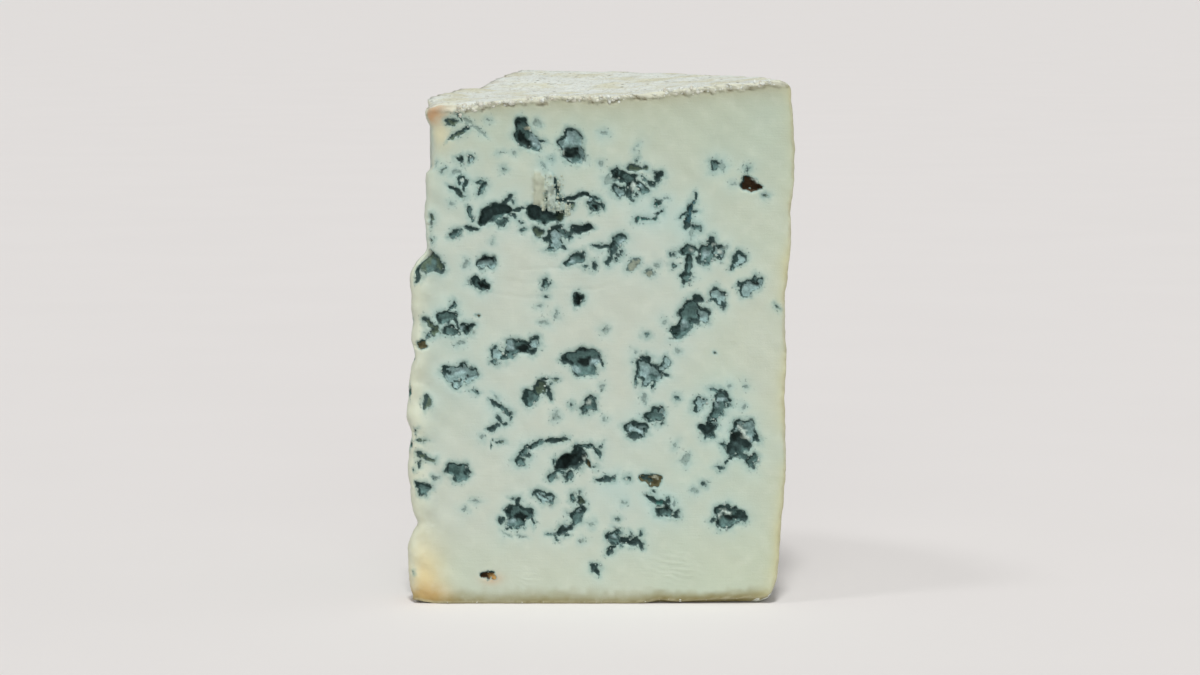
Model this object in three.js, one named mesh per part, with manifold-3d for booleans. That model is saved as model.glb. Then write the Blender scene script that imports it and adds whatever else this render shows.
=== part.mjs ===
// A wedge of blue cheese: a fifth of a tall drum-shaped wheel, standing on the wheel's base.
// The tip is the middle of the wheel. The curved side, the top and the base are rind, and the
// two cut faces are crumbly paste with mould pockets. Millimetres, +Z up. The front cut face
// looks along -Y, with the tip at its left and the rind at its right.
import * as THREE from 'three';
import { mergeVertices } from 'three/addons/utils/BufferGeometryUtils.js';
import Module from 'manifold-3d';

const { smoothstep, degToRad } = THREE.MathUtils;

// The wheel. Its top is dished, so it is lowest over the axis.
const wheelRadius = 109.3;
const tipHeight = 143.5;
const rimHeight = 151;
const shoulderRadius = 3;
const footRadius = 4;
const wheelSegments = 90;
const rindRelief = 0.45;

// The cut
const wedgeAngle = degToRad(72);
const tipRadius = 3;
const tipInset = 0.6;
const cutReach = 118;
const cutBelow = -9;
const cutAbove = 159;
const cutColumns = 21;
const cutRows = 28;
const tipColumns = 4;
const cutRelief = 0.32;
const tipRelief = 0.85;

// How far the broken tip stands back: a step, with its height, its run and its depth
const tipSteps = [
  [94, 9, 5.3],
  [123, 2.5, 1.8],
  [135, 7, -2.4],
];
// and a notch, with its height, its depth and its reach up and down
const tipNotches = [
  [2, 1.2, 4],
  [26, 1.8, 5],
  [48, 0.9, 3],
  [70, 1.4, 3.5],
  [82, 1.3, 14],
];

// The mould pockets of the front face: distance from the tip, height, half length, half width,
// turn in degrees and depth
const frontPockets = [
  [34.6, 134.4, 5.2, 2.6, -58, 3.4],
  [47.8, 131.9, 5.3, 3.4, -76, 3.4],
  [15.8, 120.4, 3.9, 1.5, 70, 2.0],
  [24.4, 111.7, 5.2, 2.3, 28, 4.6],
  [38.9, 112.2, 5.2, 2.4, -5, 5.0],
  [49.3, 116.9, 6.0, 1.3, 5, 2.2],
  [43.2, 105.0, 3.6, 2.4, 80, 2.2],
  [50.2, 107.3, 3.6, 1.5, 8, 3.5],
  [6.7, 98.0, 4.0, 3.4, 20, 3.0],
  [61.5, 123.8, 2.4, 2.1, 0, 3.2],
  [64.7, 121.8, 3.4, 2.0, -40, 3.5],
  [72.8, 123.0, 1.9, 1.5, 60, 2.6],
  [68.7, 119.5, 2.8, 1.6, -40, 2.2],
  [82.7, 112.5, 5.2, 1.5, 80, 2.0],
  [99.8, 120.5, 3.0, 2.1, 5, 5.0],
  [23.2, 98.0, 2.9, 1.9, 5, 2.4],
  [21.8, 91.6, 3.2, 1.9, -30, 3.0],
  [40.6, 91.9, 1.7, 1.4, 80, 1.8],
  [49.9, 87.3, 1.9, 1.5, 75, 2.6],
  [49.0, 98.9, 3.3, 1.5, 25, 2.2],
  [60.9, 102.7, 3.9, 1.5, 65, 2.0],
  [11.3, 82.1, 3.0, 1.9, 20, 2.2],
  [12.8, 78.0, 2.4, 1.6, -20, 2.2],
  [17.7, 78.9, 2.3, 1.8, 0, 2.6],
  [4.1, 74.0, 2.2, 1.5, 20, 2.2],
  [31.6, 73.4, 3.6, 2.4, 15, 3.2],
  [36.8, 74.8, 2.2, 2.0, 10, 2.2],
  [15.7, 65.8, 4.8, 2.9, -3, 2.6],
  [35.7, 58.9, 2.8, 2.2, 45, 2.6],
  [38.9, 61.5, 2.4, 1.5, 45, 2.6],
  [51.3, 69.3, 5.2, 3.5, 0, 3.4],
  [53.1, 56.6, 2.4, 2.2, 0, 2.4],
  [81.2, 101.8, 2.7, 1.9, 20, 2.4],
  [87.3, 101.5, 3.6, 3.0, 40, 2.8],
  [81.8, 97.4, 3.0, 1.6, 85, 2.8],
  [99.8, 91.1, 3.8, 2.0, 35, 1.8],
  [90.5, 88.2, 2.6, 2.1, -60, 1.8],
  [81.5, 82.1, 6.0, 3.0, 60, 3.6],
  [69.6, 66.4, 4.0, 3.2, -40, 3.2],
  [74.8, 68.7, 2.4, 1.4, 60, 1.8],
  [91.6, 59.2, 2.7, 2.3, -30, 2.4],
  [89.9, 55.7, 3.2, 1.9, 50, 2.4],
  [87.9, 49.6, 2.9, 2.3, 30, 3.6],
  [71.9, 53.8, 3.3, 2.0, 20, 2.6],
  [66.7, 49.3, 3.5, 2.5, 0, 2.6],
  [98.3, 49.3, 3.7, 3.0, -30, 2.4],
  [96.0, 44.7, 3.4, 2.8, 40, 4.5],
  [100.2, 40.2, 2.3, 1.7, 75, 2.6],
  [14.8, 37.1, 3.2, 2.6, -20, 2.8],
  [4.6, 32.2, 2.3, 2.0, -30, 2.0],
  [32.8, 40.3, 1.8, 1.5, 30, 1.8],
  [48.4, 40.3, 5.2, 2.8, 28, 5.5],
  [39.9, 30.0, 3.2, 1.7, -20, 1.4],
  [32.2, 24.7, 3.9, 3.3, 20, 3.2],
  [50.5, 29.3, 2.3, 1.7, 80, 2.6],
  [49.6, 24.1, 3.2, 1.8, 65, 2.8],
  [45.8, 20.6, 2.8, 1.5, 25, 2.4],
  [71.8, 34.8, 3.2, 1.6, -8, 2.6],
  [74.2, 25.5, 2.7, 1.9, 10, 2.6],
  [93.7, 23.5, 4.0, 2.9, 10, 3.0],
  [60.0, 17.7, 2.5, 2.1, 0, 2.4],
  [65.0, 17.1, 3.0, 1.5, 0, 2.8],
  [23.9, 6.7, 2.3, 1.3, -25, 2.4],
];

// The back face has pockets of the same kind, spread by a rule
const backPockets = 29;
const backStart = 9;
const backLength = 94;
const backFoot = 8;
const backRise = 128;

// A torn flake stands proud of the front face: distance from the tip, height, half width,
// half height and how far it stands out
const flakeStrips = [
  [38.6, 119.0, 1.9, 5.6, 1.1],
  [42.0, 118.4, 1.2, 6.2, 1.4],
];

// The base doesn't quite touch the table along the front edge, towards the rind, and at the tip:
// distance from the tip, and half length, half depth and height of the space
const baseLifts = [
  [109, 62, 17, 2.3],
  [0, 9, 8, 1.5],
];
const liftSink = 1.5;

const wasm = await Module();
wasm.setup();

// The closed mesh of a geometry as a solid
function solidOf(geometry) {
  const bare = geometry.clone();
  bare.deleteAttribute('normal');
  bare.deleteAttribute('uv');
  const merged = mergeVertices(bare, 1e-4);
  const corners = merged.index.array;
  const kept = [];
  for (let i = 0; i < corners.length; i += 3) {
    const [a, b, c] = [corners[i], corners[i + 1], corners[i + 2]];
    if (a !== b && b !== c && c !== a) kept.push(a, b, c);
  }
  return new wasm.Manifold(new wasm.Mesh({
    numProp: 3,
    vertProperties: new Float32Array(merged.attributes.position.array),
    triVerts: new Uint32Array(kept),
  }));
}

function geometryOf(solid) {
  const mesh = solid.getMesh();
  const geometry = new THREE.BufferGeometry();
  geometry.setAttribute('position', new THREE.BufferAttribute(mesh.vertProperties, 3));
  geometry.setIndex(new THREE.BufferAttribute(mesh.triVerts, 1));
  geometry.computeVertexNormals();
  return geometry;
}

// Moves every vertex of a geometry with a function that changes a vector
function reshape(geometry, change) {
  const { position } = geometry.attributes;
  const point = new THREE.Vector3();
  for (let i = 0; i < position.count; i++) {
    point.fromBufferAttribute(position, i);
    change(point);
    position.setXYZ(i, point.x, point.y, point.z);
  }
  return geometry;
}

const bell = (x, middle, width) => Math.exp(-(((x - middle) / width) ** 2));
const fraction = (x) => x - Math.floor(x);

// Waves in space of about -1 to 1, with lengths from four to eight times the size given
function waves(x, y, z, size) {
  const long = Math.sin(x / size + 1.3) * Math.sin(z / size + 0.4) * Math.cos(y / size);
  const short = Math.sin(1.9 * x / size + 2.1 + 0.8 * z / size) * Math.cos(1.7 * z / size + y / size);
  return 0.6 * long + 0.4 * short;
}

// The wheel's side swells under the rim, is a little waisted and draws in at the foot
function sideRadius(z) {
  return wheelRadius + 2.2 * bell(z, 129, 24) - 0.8 * bell(z, 84, 14) - 4.5 * Math.exp(-z / 14);
}

function topHeight(r) {
  return tipHeight + (rimHeight - tipHeight) * r / wheelRadius - 1.2 * bell(r, 64, 14);
}

// The wheel's profile from the axis along the base, up the side and back along the top
function wheelProfile() {
  const points = [0, 32, 62, 84, 96].map((r) => new THREE.Vector2(r, 0));
  const foot = sideRadius(footRadius) - footRadius;
  for (let i = 0; i <= 3; i++) {
    const turn = i / 3 * Math.PI / 2;
    points.push(new THREE.Vector2(
      foot + footRadius * Math.sin(turn), footRadius * (1 - Math.cos(turn))));
  }
  const sideTop = rimHeight - shoulderRadius;
  const sideSteps = 21;
  for (let i = 1; i < sideSteps; i++) {
    const z = THREE.MathUtils.lerp(footRadius, sideTop, i / sideSteps);
    points.push(new THREE.Vector2(sideRadius(z), z));
  }
  const shoulder = sideRadius(sideTop) - shoulderRadius;
  for (let i = 0; i <= 3; i++) {
    const turn = i / 3 * Math.PI / 2;
    points.push(new THREE.Vector2(
      shoulder + shoulderRadius * Math.cos(turn), sideTop + shoulderRadius * Math.sin(turn)));
  }
  const topSteps = 13;
  for (let i = topSteps - 1; i >= 0; i--) {
    const r = shoulder * i / topSteps;
    points.push(new THREE.Vector2(r, topHeight(r)));
  }
  return points;
}

// The whole wheel, its rind uneven on the side and the top and flat on the base
function wheel() {
  const geometry = new THREE.LatheGeometry(wheelProfile(), wheelSegments).rotateX(Math.PI / 2);
  return solidOf(reshape(geometry, (p) => {
    const r = Math.hypot(p.x, p.y);
    const onTop = smoothstep(p.z - topHeight(r), -3, -1);
    const onSide = smoothstep(r - sideRadius(p.z), -3, -1) * smoothstep(p.z, 3, 9);
    const bump = rindRelief * waves(p.x, p.y, p.z, 5.5);
    p.z += bump * onTop;
    if (r > 1) {
      p.x += bump * onSide * p.x / r;
      p.y += bump * onSide * p.y / r;
    }
  }));
}

// How far the broken tip stands back at a height
function tipBreak(z) {
  let back = tipInset;
  for (const [height, run, depth] of tipSteps) back += depth * smoothstep(z, height, height + run);
  for (const [height, depth, reach] of tipNotches) back += depth * bell(z, height, reach);
  return back;
}

// The space that the knife leaves: a box bent into a wedge with a rounded tip. Its X runs from
// the tip outwards, its Y from the front face to the back face, and its Z up.
function cutBlock() {
  const height = cutAbove - cutBelow;
  const box = new THREE.BoxGeometry(cutReach, 1, height, cutColumns, tipColumns, cutRows);
  box.translate(cutReach / 2, 0.5, cutBelow + height / 2);
  const middle = tipRadius * (1 / Math.tan(wedgeAngle / 2));
  const apex = -(middle - tipRadius);
  return solidOf(reshape(box, (p) => {
    const along = p.x;
    const outward = degToRad(270) - (Math.PI - wedgeAngle) * p.y;
    const course = wedgeAngle * p.y;
    const x = apex + middle + tipRadius * Math.cos(outward) + along * Math.cos(course);
    const y = tipRadius * (1 + Math.sin(outward)) + along * Math.sin(course);
    const relief = THREE.MathUtils.lerp(tipRelief, cutRelief, smoothstep(along, 3, 26));
    const bump = relief * waves(x + 7, y, p.z, 3.1);
    const back = tipBreak(p.z) * (1 - smoothstep(along, 2, 22));
    p.set(x + bump * Math.cos(outward) + back, y + bump * Math.sin(outward), p.z);
  }));
}

// One pocket: a lumpy hollow centred on its face. Local X runs along the face, Y into the cheese.
function pocket([along, height, halfLength, halfWidth, turn, depth], seed) {
  const large = halfLength > 3.4;
  const ball = large ? new THREE.IcosahedronGeometry(1, 1) : new THREE.OctahedronGeometry(1, 1);
  reshape(ball, (p) => {
    const around = Math.atan2(p.z, p.x);
    const swell = 1 + 0.16 * Math.sin(3 * around + 2.4 * seed) + 0.1 * Math.sin(5 * around + 1.7 * seed);
    p.x *= swell;
    p.z *= swell;
  });
  ball.scale(halfLength, depth, halfWidth);
  ball.rotateY(-degToRad(turn));
  return ball.translate(along, 0, height);
}

// Pocket number k of the back face. Steps of irrational length spread the pockets evenly.
function backPocket(k) {
  const halfLength = 1.9 + 3.6 * fraction(k * 0.618 + 0.3) ** 1.5;
  return [
    -(backStart + backLength * fraction(0.5 + k * 0.7549)),
    backFoot + backRise * fraction(0.5 + k * 0.5698),
    halfLength,
    halfLength * (0.45 + 0.35 * fraction(k * 0.414)),
    360 * fraction(k * 0.382),
    1.6 + 0.5 * halfLength,
  ];
}

function lump([x, y, z], [halfX, halfY, halfZ], detail) {
  return new THREE.IcosahedronGeometry(1, detail).scale(halfX, halfY, halfZ).translate(x, y, z);
}

// The back face's local X runs from the rind to the tip
const turnToBack = wedgeAngle + Math.PI;

const hollows = frontPockets.map((values, i) => pocket(values, i));
for (let k = 0; k < backPockets; k++) {
  hollows.push(pocket(backPocket(k), k + 0.5).rotateZ(turnToBack));
}
for (const [along, halfLength, halfDepth, rise] of baseLifts) {
  const middle = [along, 0, -liftSink * rise];
  hollows.push(lump(middle, [halfLength, halfDepth, (1 + liftSink) * rise], 2));
}
const flake = flakeStrips.map(([along, height, halfWidth, halfHeight, out]) => (
  lump([along, 0, height], [halfWidth, out, halfHeight], 1)));

// The flake's edges are torn out of the pocket under it, so it is joined on last
const body = wheel()
  .intersect(cutBlock())
  .subtract(wasm.Manifold.union(hollows.map(solidOf)))
  .add(wasm.Manifold.union(flake.map(solidOf)));
const pieces = body.decompose().sort((a, b) => b.volume() - a.volume());
const wedge = geometryOf(pieces[0]);
wedge.computeBoundingBox();
const { min, max } = wedge.boundingBox;

const paste = new THREE.MeshStandardMaterial({ color: 0xc6ccb2, roughness: 0.55, metalness: 0 });
const cheese = new THREE.Mesh(wedge, paste);
cheese.name = 'cheese_wedge';
cheese.position.set(-(min.x + max.x) / 2, -(min.y + max.y) / 2, -min.z);

const model = new THREE.Group();
model.add(cheese);

export default model;
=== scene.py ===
# A wedge of blue cheese on a pale floor: paste, mould pockets and rind, worked out on one grid
import math

import bpy
import numpy as np
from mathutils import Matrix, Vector


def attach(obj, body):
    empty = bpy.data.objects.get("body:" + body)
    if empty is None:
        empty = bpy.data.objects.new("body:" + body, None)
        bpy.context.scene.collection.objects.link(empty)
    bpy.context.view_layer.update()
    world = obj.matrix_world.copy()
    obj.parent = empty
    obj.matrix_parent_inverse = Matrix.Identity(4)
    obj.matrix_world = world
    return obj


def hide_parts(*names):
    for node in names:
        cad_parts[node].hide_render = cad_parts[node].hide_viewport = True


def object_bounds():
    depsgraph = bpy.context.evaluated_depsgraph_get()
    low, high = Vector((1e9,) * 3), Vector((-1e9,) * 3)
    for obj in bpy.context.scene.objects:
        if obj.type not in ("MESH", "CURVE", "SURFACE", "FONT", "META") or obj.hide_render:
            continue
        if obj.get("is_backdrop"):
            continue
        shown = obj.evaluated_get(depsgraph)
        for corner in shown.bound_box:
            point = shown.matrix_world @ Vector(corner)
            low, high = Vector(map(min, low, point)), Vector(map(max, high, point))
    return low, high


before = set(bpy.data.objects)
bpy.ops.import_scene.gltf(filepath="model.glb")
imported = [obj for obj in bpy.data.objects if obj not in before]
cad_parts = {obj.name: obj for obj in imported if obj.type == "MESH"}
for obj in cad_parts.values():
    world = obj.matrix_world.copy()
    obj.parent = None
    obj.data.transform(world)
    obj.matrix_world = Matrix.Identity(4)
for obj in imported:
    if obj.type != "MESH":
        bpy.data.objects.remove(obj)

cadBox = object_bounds()
mm = 0.001    # everything below is worked out in millimetres

print("cheese: helpers")


def linear(hexColour):
    # sRGB hex to linear light, one channel at a time
    channels = [int(hexColour[i:i + 2], 16) / 255 for i in (1, 3, 5)]
    return [c / 12.92 if c <= 0.04045 else ((c + 0.055) / 1.055) ** 2.4 for c in channels]


def rgba(hexColour):
    return (*linear(hexColour), 1.0)


def smooth(x, low, high):
    # 0 below low, 1 above high, eased between
    t = np.clip((x - low) / (high - low), 0, 1)
    return t * t * (3 - 2 * t)


def bell(x, middle, width):
    return np.exp(-((x - middle) / width) ** 2)


def mix(a, b, share):
    return a + (b - a) * share[:, None]


noiseTable = np.random.default_rng(7).uniform(-1, 1, 4096)
noiseOrder = np.random.default_rng(8).permutation(4096)


def softNoise(points, size, seed=0):
    # random numbers on a lattice with the given spacing, eased between: about -1 to 1
    cell = points / size + 17.31 * seed
    low = np.floor(cell).astype(int)
    part = cell - low
    part = part * part * (3 - 2 * part)
    total = 0
    for corner in range(8):
        step = np.array([corner & 1, corner >> 1 & 1, corner >> 2 & 1])
        x, y, z = ((low + step) & 4095).T
        pick = noiseOrder[(noiseOrder[(noiseOrder[x] + y) & 4095] + z) & 4095]
        total = total + np.prod(np.where(step, part, 1 - part), axis=1) * noiseTable[pick]
    return total


def roughNoise(points, size, octaves, seed=0):
    # soft noise summed over octaves, each half as large and half as strong
    total = sum(softNoise(points, size / 2 ** k, seed + k) / 2 ** k for k in range(octaves))
    return total / (2 - 0.5 ** (octaves - 1))


def lineNoise(distance, size, seed=0):
    # soft noise along a line
    return softNoise(np.stack([distance, 0 * distance, 0 * distance], 1), size, seed)


def makeMesh(name, points, faces, attributes=None):
    mesh = bpy.data.meshes.new(name)
    mesh.from_pydata((points * mm).tolist(), [], faces)
    mesh.polygons.foreach_set("use_smooth", [True] * len(mesh.polygons))
    for key, values in (attributes or {}).items():
        wide = values.ndim == 2
        layer = mesh.attributes.new(key, "FLOAT_COLOR" if wide else "FLOAT", "POINT")
        layer.data.foreach_set("color" if wide else "value", values.astype(np.float32).ravel())
    mesh.update()
    piece = bpy.data.objects.new(name, mesh)
    bpy.context.scene.collection.objects.link(piece)
    return piece


print("cheese: the wheel and the cut")

wheel = {
    "radius": 109.3,
    "tipHeight": 143.5,     # the top is dished, lowest over the axis
    "rimHeight": 151.0,
    "shoulder": 3.0,        # rounding of the rim at the top
    "foot": 2.8,            # and at the base
}
cut = {
    "angle": math.radians(72),
    "tipRadius": 3.0,
    "tipInset": 0.6,
    # height, run, depth
    "tipSteps": [(95, 9, 5.3), (124, 2.5, 1.8), (136, 6, -2.2), (142, 3, 1.5)],
    # height, reach, depth
    "tipNotches": [(0.5, 2.5, 1.0), (23.2, 2.6, 2.6), (31, 6, 0.9), (49, 3, 0.9), (71, 3.5, 1.4), (83, 14, 1.3)],
}
grid = {
    "frontColumns": 212,
    "tipColumns": 10,
    "backColumns": 104,
    "sideColumns": 80,
    "rows": 142,            # twice as many on the front and the tip
    "topRings": 26,
    "baseRings": [0.02, 0.05, 0.1, 0.2, 0.4, 0.7],
    "heart": 68,            # how far from the axis the rings of the top and the base close
}


def sideRadius(z):
    # swells under the rim, a little waisted, drawn in at the foot
    swell = 2.3 * bell(z, 130, 18) + 0.9 * bell(z, 102, 8) - 0.6 * bell(z, 83, 7)
    return wheel["radius"] + swell - 4.5 * np.exp(-z / 14)


def topHeight(r):
    dish = (wheel["rimHeight"] - wheel["tipHeight"]) * r / wheel["radius"]
    return wheel["tipHeight"] + dish - 1.2 * bell(r, 64, 14)


def rimRadius(share, top):
    # the wheel's profile at a share of its height, with quarter rounds at the foot and the shoulder
    z = share * top
    low = np.clip(wheel["foot"] - z, 0, wheel["foot"])
    high = np.clip(z - top + wheel["shoulder"], 0, wheel["shoulder"])
    footInset = wheel["foot"] - np.sqrt(wheel["foot"] ** 2 - low ** 2)
    shoulderInset = wheel["shoulder"] - np.sqrt(wheel["shoulder"] ** 2 - high ** 2)
    return sideRadius(z) - footInset - shoulderInset


def tipBreak(z):
    back = cut["tipInset"] + 0 * z
    for height, run, depth in cut["tipSteps"]:
        back = back + depth * smooth(z, height, height + run)
    for height, reach, depth in cut["tipNotches"]:
        back = back + depth * bell(z, height, reach)
    return back


def knifePoint(along, sweep):
    # a point of the cut: sweep runs round the tip from the front face, 0, to the back face, 1
    facing = math.radians(270) - (math.pi - cut["angle"]) * sweep
    course = cut["angle"] * sweep
    x = cut["tipRadius"] * (1 + np.cos(facing)) + along * np.cos(course)
    y = cut["tipRadius"] * (1 + np.sin(facing)) + along * np.sin(course)
    return x, y, np.cos(facing), np.sin(facing)


def buildWedge():
    # One closed grid. Columns run clockwise from the rim along the front face, round the tip,
    # along the back face and back along the rind; rows run from the base to the top; rings close
    # the top and the base. The front and the tip have twice the rows.
    columns, rows, tipColumns = grid["frontColumns"], grid["rows"], grid["tipColumns"]
    fineShare = np.linspace(0, 1, 2 * rows + 1)[:, None]
    share = fineShare[::2]
    rimInner = wheel["radius"] - wheel["shoulder"]
    rimTop = topHeight(rimInner)
    parts, indices, faces, count = [], {}, [], 0

    def add(name, x, y, z, **facts):
        nonlocal count
        shape = np.broadcast_shapes(x.shape, y.shape, z.shape)
        block = {"x": x, "y": y, "z": z, **facts}
        parts.append({k: np.broadcast_to(v, shape).ravel() for k, v in block.items()})
        indices[name] = count + np.arange(np.prod(shape)).reshape(shape)
        count += int(np.prod(shape))

    # front face and tip
    outward = np.concatenate([np.linspace(1, 0, columns + 1), np.zeros(tipColumns)])[None, :]
    sweep = np.concatenate([np.zeros(columns + 1), np.arange(1, tipColumns + 1) / tipColumns])[None, :]
    along = outward * (rimRadius(fineShare, rimTop) - cut["tipRadius"])
    x, y, nx, ny = knifePoint(along, sweep)
    z = fineShare * topHeight(outward * rimInner)
    x = x + tipBreak(z) * (1 - smooth(along, 2, 22))
    add("fine", x, y, z, nx=nx, ny=ny, nz=0.0, cut=1.0, rim=smooth(outward, 0.9, 1), share=fineShare,
        back=1.9 * cut["tipRadius"] * (sweep - 1) - 200 * (sweep < 0.45), front=1 - smooth(sweep, 0.35, 0.6))

    # back face
    outward = (np.arange(1, grid["backColumns"] + 1) / grid["backColumns"])[None, :]
    startX, startY, nx, ny = knifePoint(0.0, 1.0)
    heading = startX * math.cos(cut["angle"]) + startY * math.sin(cut["angle"])
    reach = -heading + np.sqrt(rimRadius(share, rimTop) ** 2 - startX ** 2 - startY ** 2 + heading ** 2)
    along = outward * reach
    x, y, nx, ny = knifePoint(along, 1.0)
    z = share * topHeight(outward * rimInner)
    x = x + tipBreak(z) * (1 - smooth(along, 2, 22))
    add("back", x, y, z, nx=nx, ny=ny, nz=0.0, cut=1.0, rim=smooth(outward, 0.9, 1), share=share,
        back=along, front=0.0)

    # rind side, between the two cut faces
    turn = (1 - np.arange(1, grid["sideColumns"]) / grid["sideColumns"])[None, :]
    radius = rimRadius(share, rimTop)
    bearing = turn * np.arctan2(y[:, -1:], x[:, -1:])
    x, y = radius * np.cos(bearing), radius * np.sin(bearing)
    add("side", x, y, share * rimTop + 0 * x, nx=np.cos(bearing), ny=np.sin(bearing), nz=0.0, cut=0.0,
        rim=1.0, share=share, back=-300.0, front=0.0)

    fine, back, side = indices["fine"], indices["back"], indices["side"]
    backGrid = np.hstack([fine[::2, -1:], back])
    sideGrid = np.hstack([backGrid[:, -1:], side, fine[::2, :1]])

    def addFaces(*corners):
        faces.extend(np.stack([np.ravel(c) for c in corners], 1).tolist())

    for g in (fine, backGrid[:, 1:], sideGrid[:, :-1]):
        addFaces(g[:-1, :-1], g[1:, :-1], g[1:, 1:], g[:-1, 1:])
    # a cell beside the fine grid has the middle point of the shared side as a fifth corner
    first, last = backGrid[:, :2], sideGrid[:, -2:]
    addFaces(first[:-1, 0], fine[1::2, -1], first[1:, 0], first[1:, 1], first[:-1, 1])
    addFaces(last[:-1, 0], last[1:, 0], last[1:, 1], fine[1::2, 0], last[:-1, 1])

    edgeX, edgeY = (np.concatenate([p[k] for p in parts]) for k in ("x", "y"))
    heartX, heartY = (grid["heart"] * f(cut["angle"] / 2) for f in (math.cos, math.sin))

    def closeWith(name, row, shares, up):
        # rings from the edge to the heart; the first cells have the fine grid's middle points
        middles = fine[row, 1::2]
        outer = np.concatenate([fine[row, :-1:2], backGrid[row, :-1], sideGrid[row, :-1]])
        loopX, loopY = edgeX[outer], edgeY[outer]
        facts = {"nx": 0.0, "ny": 0.0, "nz": 1.0 if up else -1.0, "cut": 0.0, "rim": 0.0,
                 "share": 1.0 * up, "back": -300.0, "front": 0.0}
        for k, t in enumerate(shares):
            x, y = loopX + (heartX - loopX) * t, loopY + (heartY - loopY) * t
            add(f"{name}{k}", x, y, topHeight(np.hypot(x, y)) * up, **facts)
            inner = indices[f"{name}{k}"]
            nextOuter, nextInner = np.roll(outer, -1), np.roll(inner, -1)
            start = len(middles) if k == 0 else 0
            corners = [c[start:] for c in (outer, inner, nextInner, nextOuter)]
            addFaces(*(corners if up else corners[::-1]))
            if k == 0:
                corners = [inner[:start], nextInner[:start], nextOuter[:start], middles, outer[:start]]
                addFaces(*(corners if up else corners[::-1]))
            outer = inner
        add(f"{name}Heart", np.array([heartX]), np.array([heartY]),
            np.array([topHeight(grid["heart"]) * up]), **facts)
        corners = [outer, np.full(len(outer), indices[f"{name}Heart"][0]), np.roll(outer, -1)]
        addFaces(*(corners if up else corners[::-1]))

    closeWith("top", -1, np.linspace(0, 1, grid["topRings"] + 1)[1:-1], True)
    closeWith("base", 0, grid["baseRings"], False)
    return {k: np.concatenate([p[k] for p in parts]).astype(float) for k in parts[0]}, faces


# the places on the front face are measured in the photo; this fits them to the wedge
photoFit = {"alongStart": 0.3, "alongScale": 0.99, "upStart": 1.4, "upScale": 0.9935}
spots, wedgeFaces = buildWedge()
print("cheese: grid of", len(spots["x"]), "points and", sum(len(f) - 2 for f in wedgeFaces), "triangles")
points = np.stack([spots["x"], spots["y"], spots["z"]], 1)
outward = np.stack([spots["nx"], spots["ny"], spots["nz"]], 1)
onCut, rim, share, front = spots["cut"], spots["rim"], spots["share"], spots["front"]
planRadius = np.hypot(points[:, 0], points[:, 1])
height = points[:, 2].copy()
faceAlong = (points[:, 0] - photoFit["alongStart"]) / photoFit["alongScale"]
faceUp = (height - photoFit["upStart"]) / photoFit["upScale"]

print("cheese: mould pockets")

# what lies inside a pocket's dark rim, and how strongly the mould covers the paste
mouldKinds = {
    "deep": ("#3D5250", 1.0),
    "slate": ("#5F7C78", 1.0),
    "pale": ("#8FABA8", 1.0),
    "olive": ("#576A57", 0.95),
    "umber": ("#5C583E", 1.0),
    "teal": ("#2F625B", 0.95),
    "blue": ("#40656A", 1.0),
    "brown": ("#46331F", 1.0),
    "flat": ("#7C8370", 0.8),       # shallow smears without a rim
    "faint": ("#6B8078", 0.5),
}
unstained = ("brown", "umber")
rimless = (*unstained, "flat", "faint")
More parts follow.
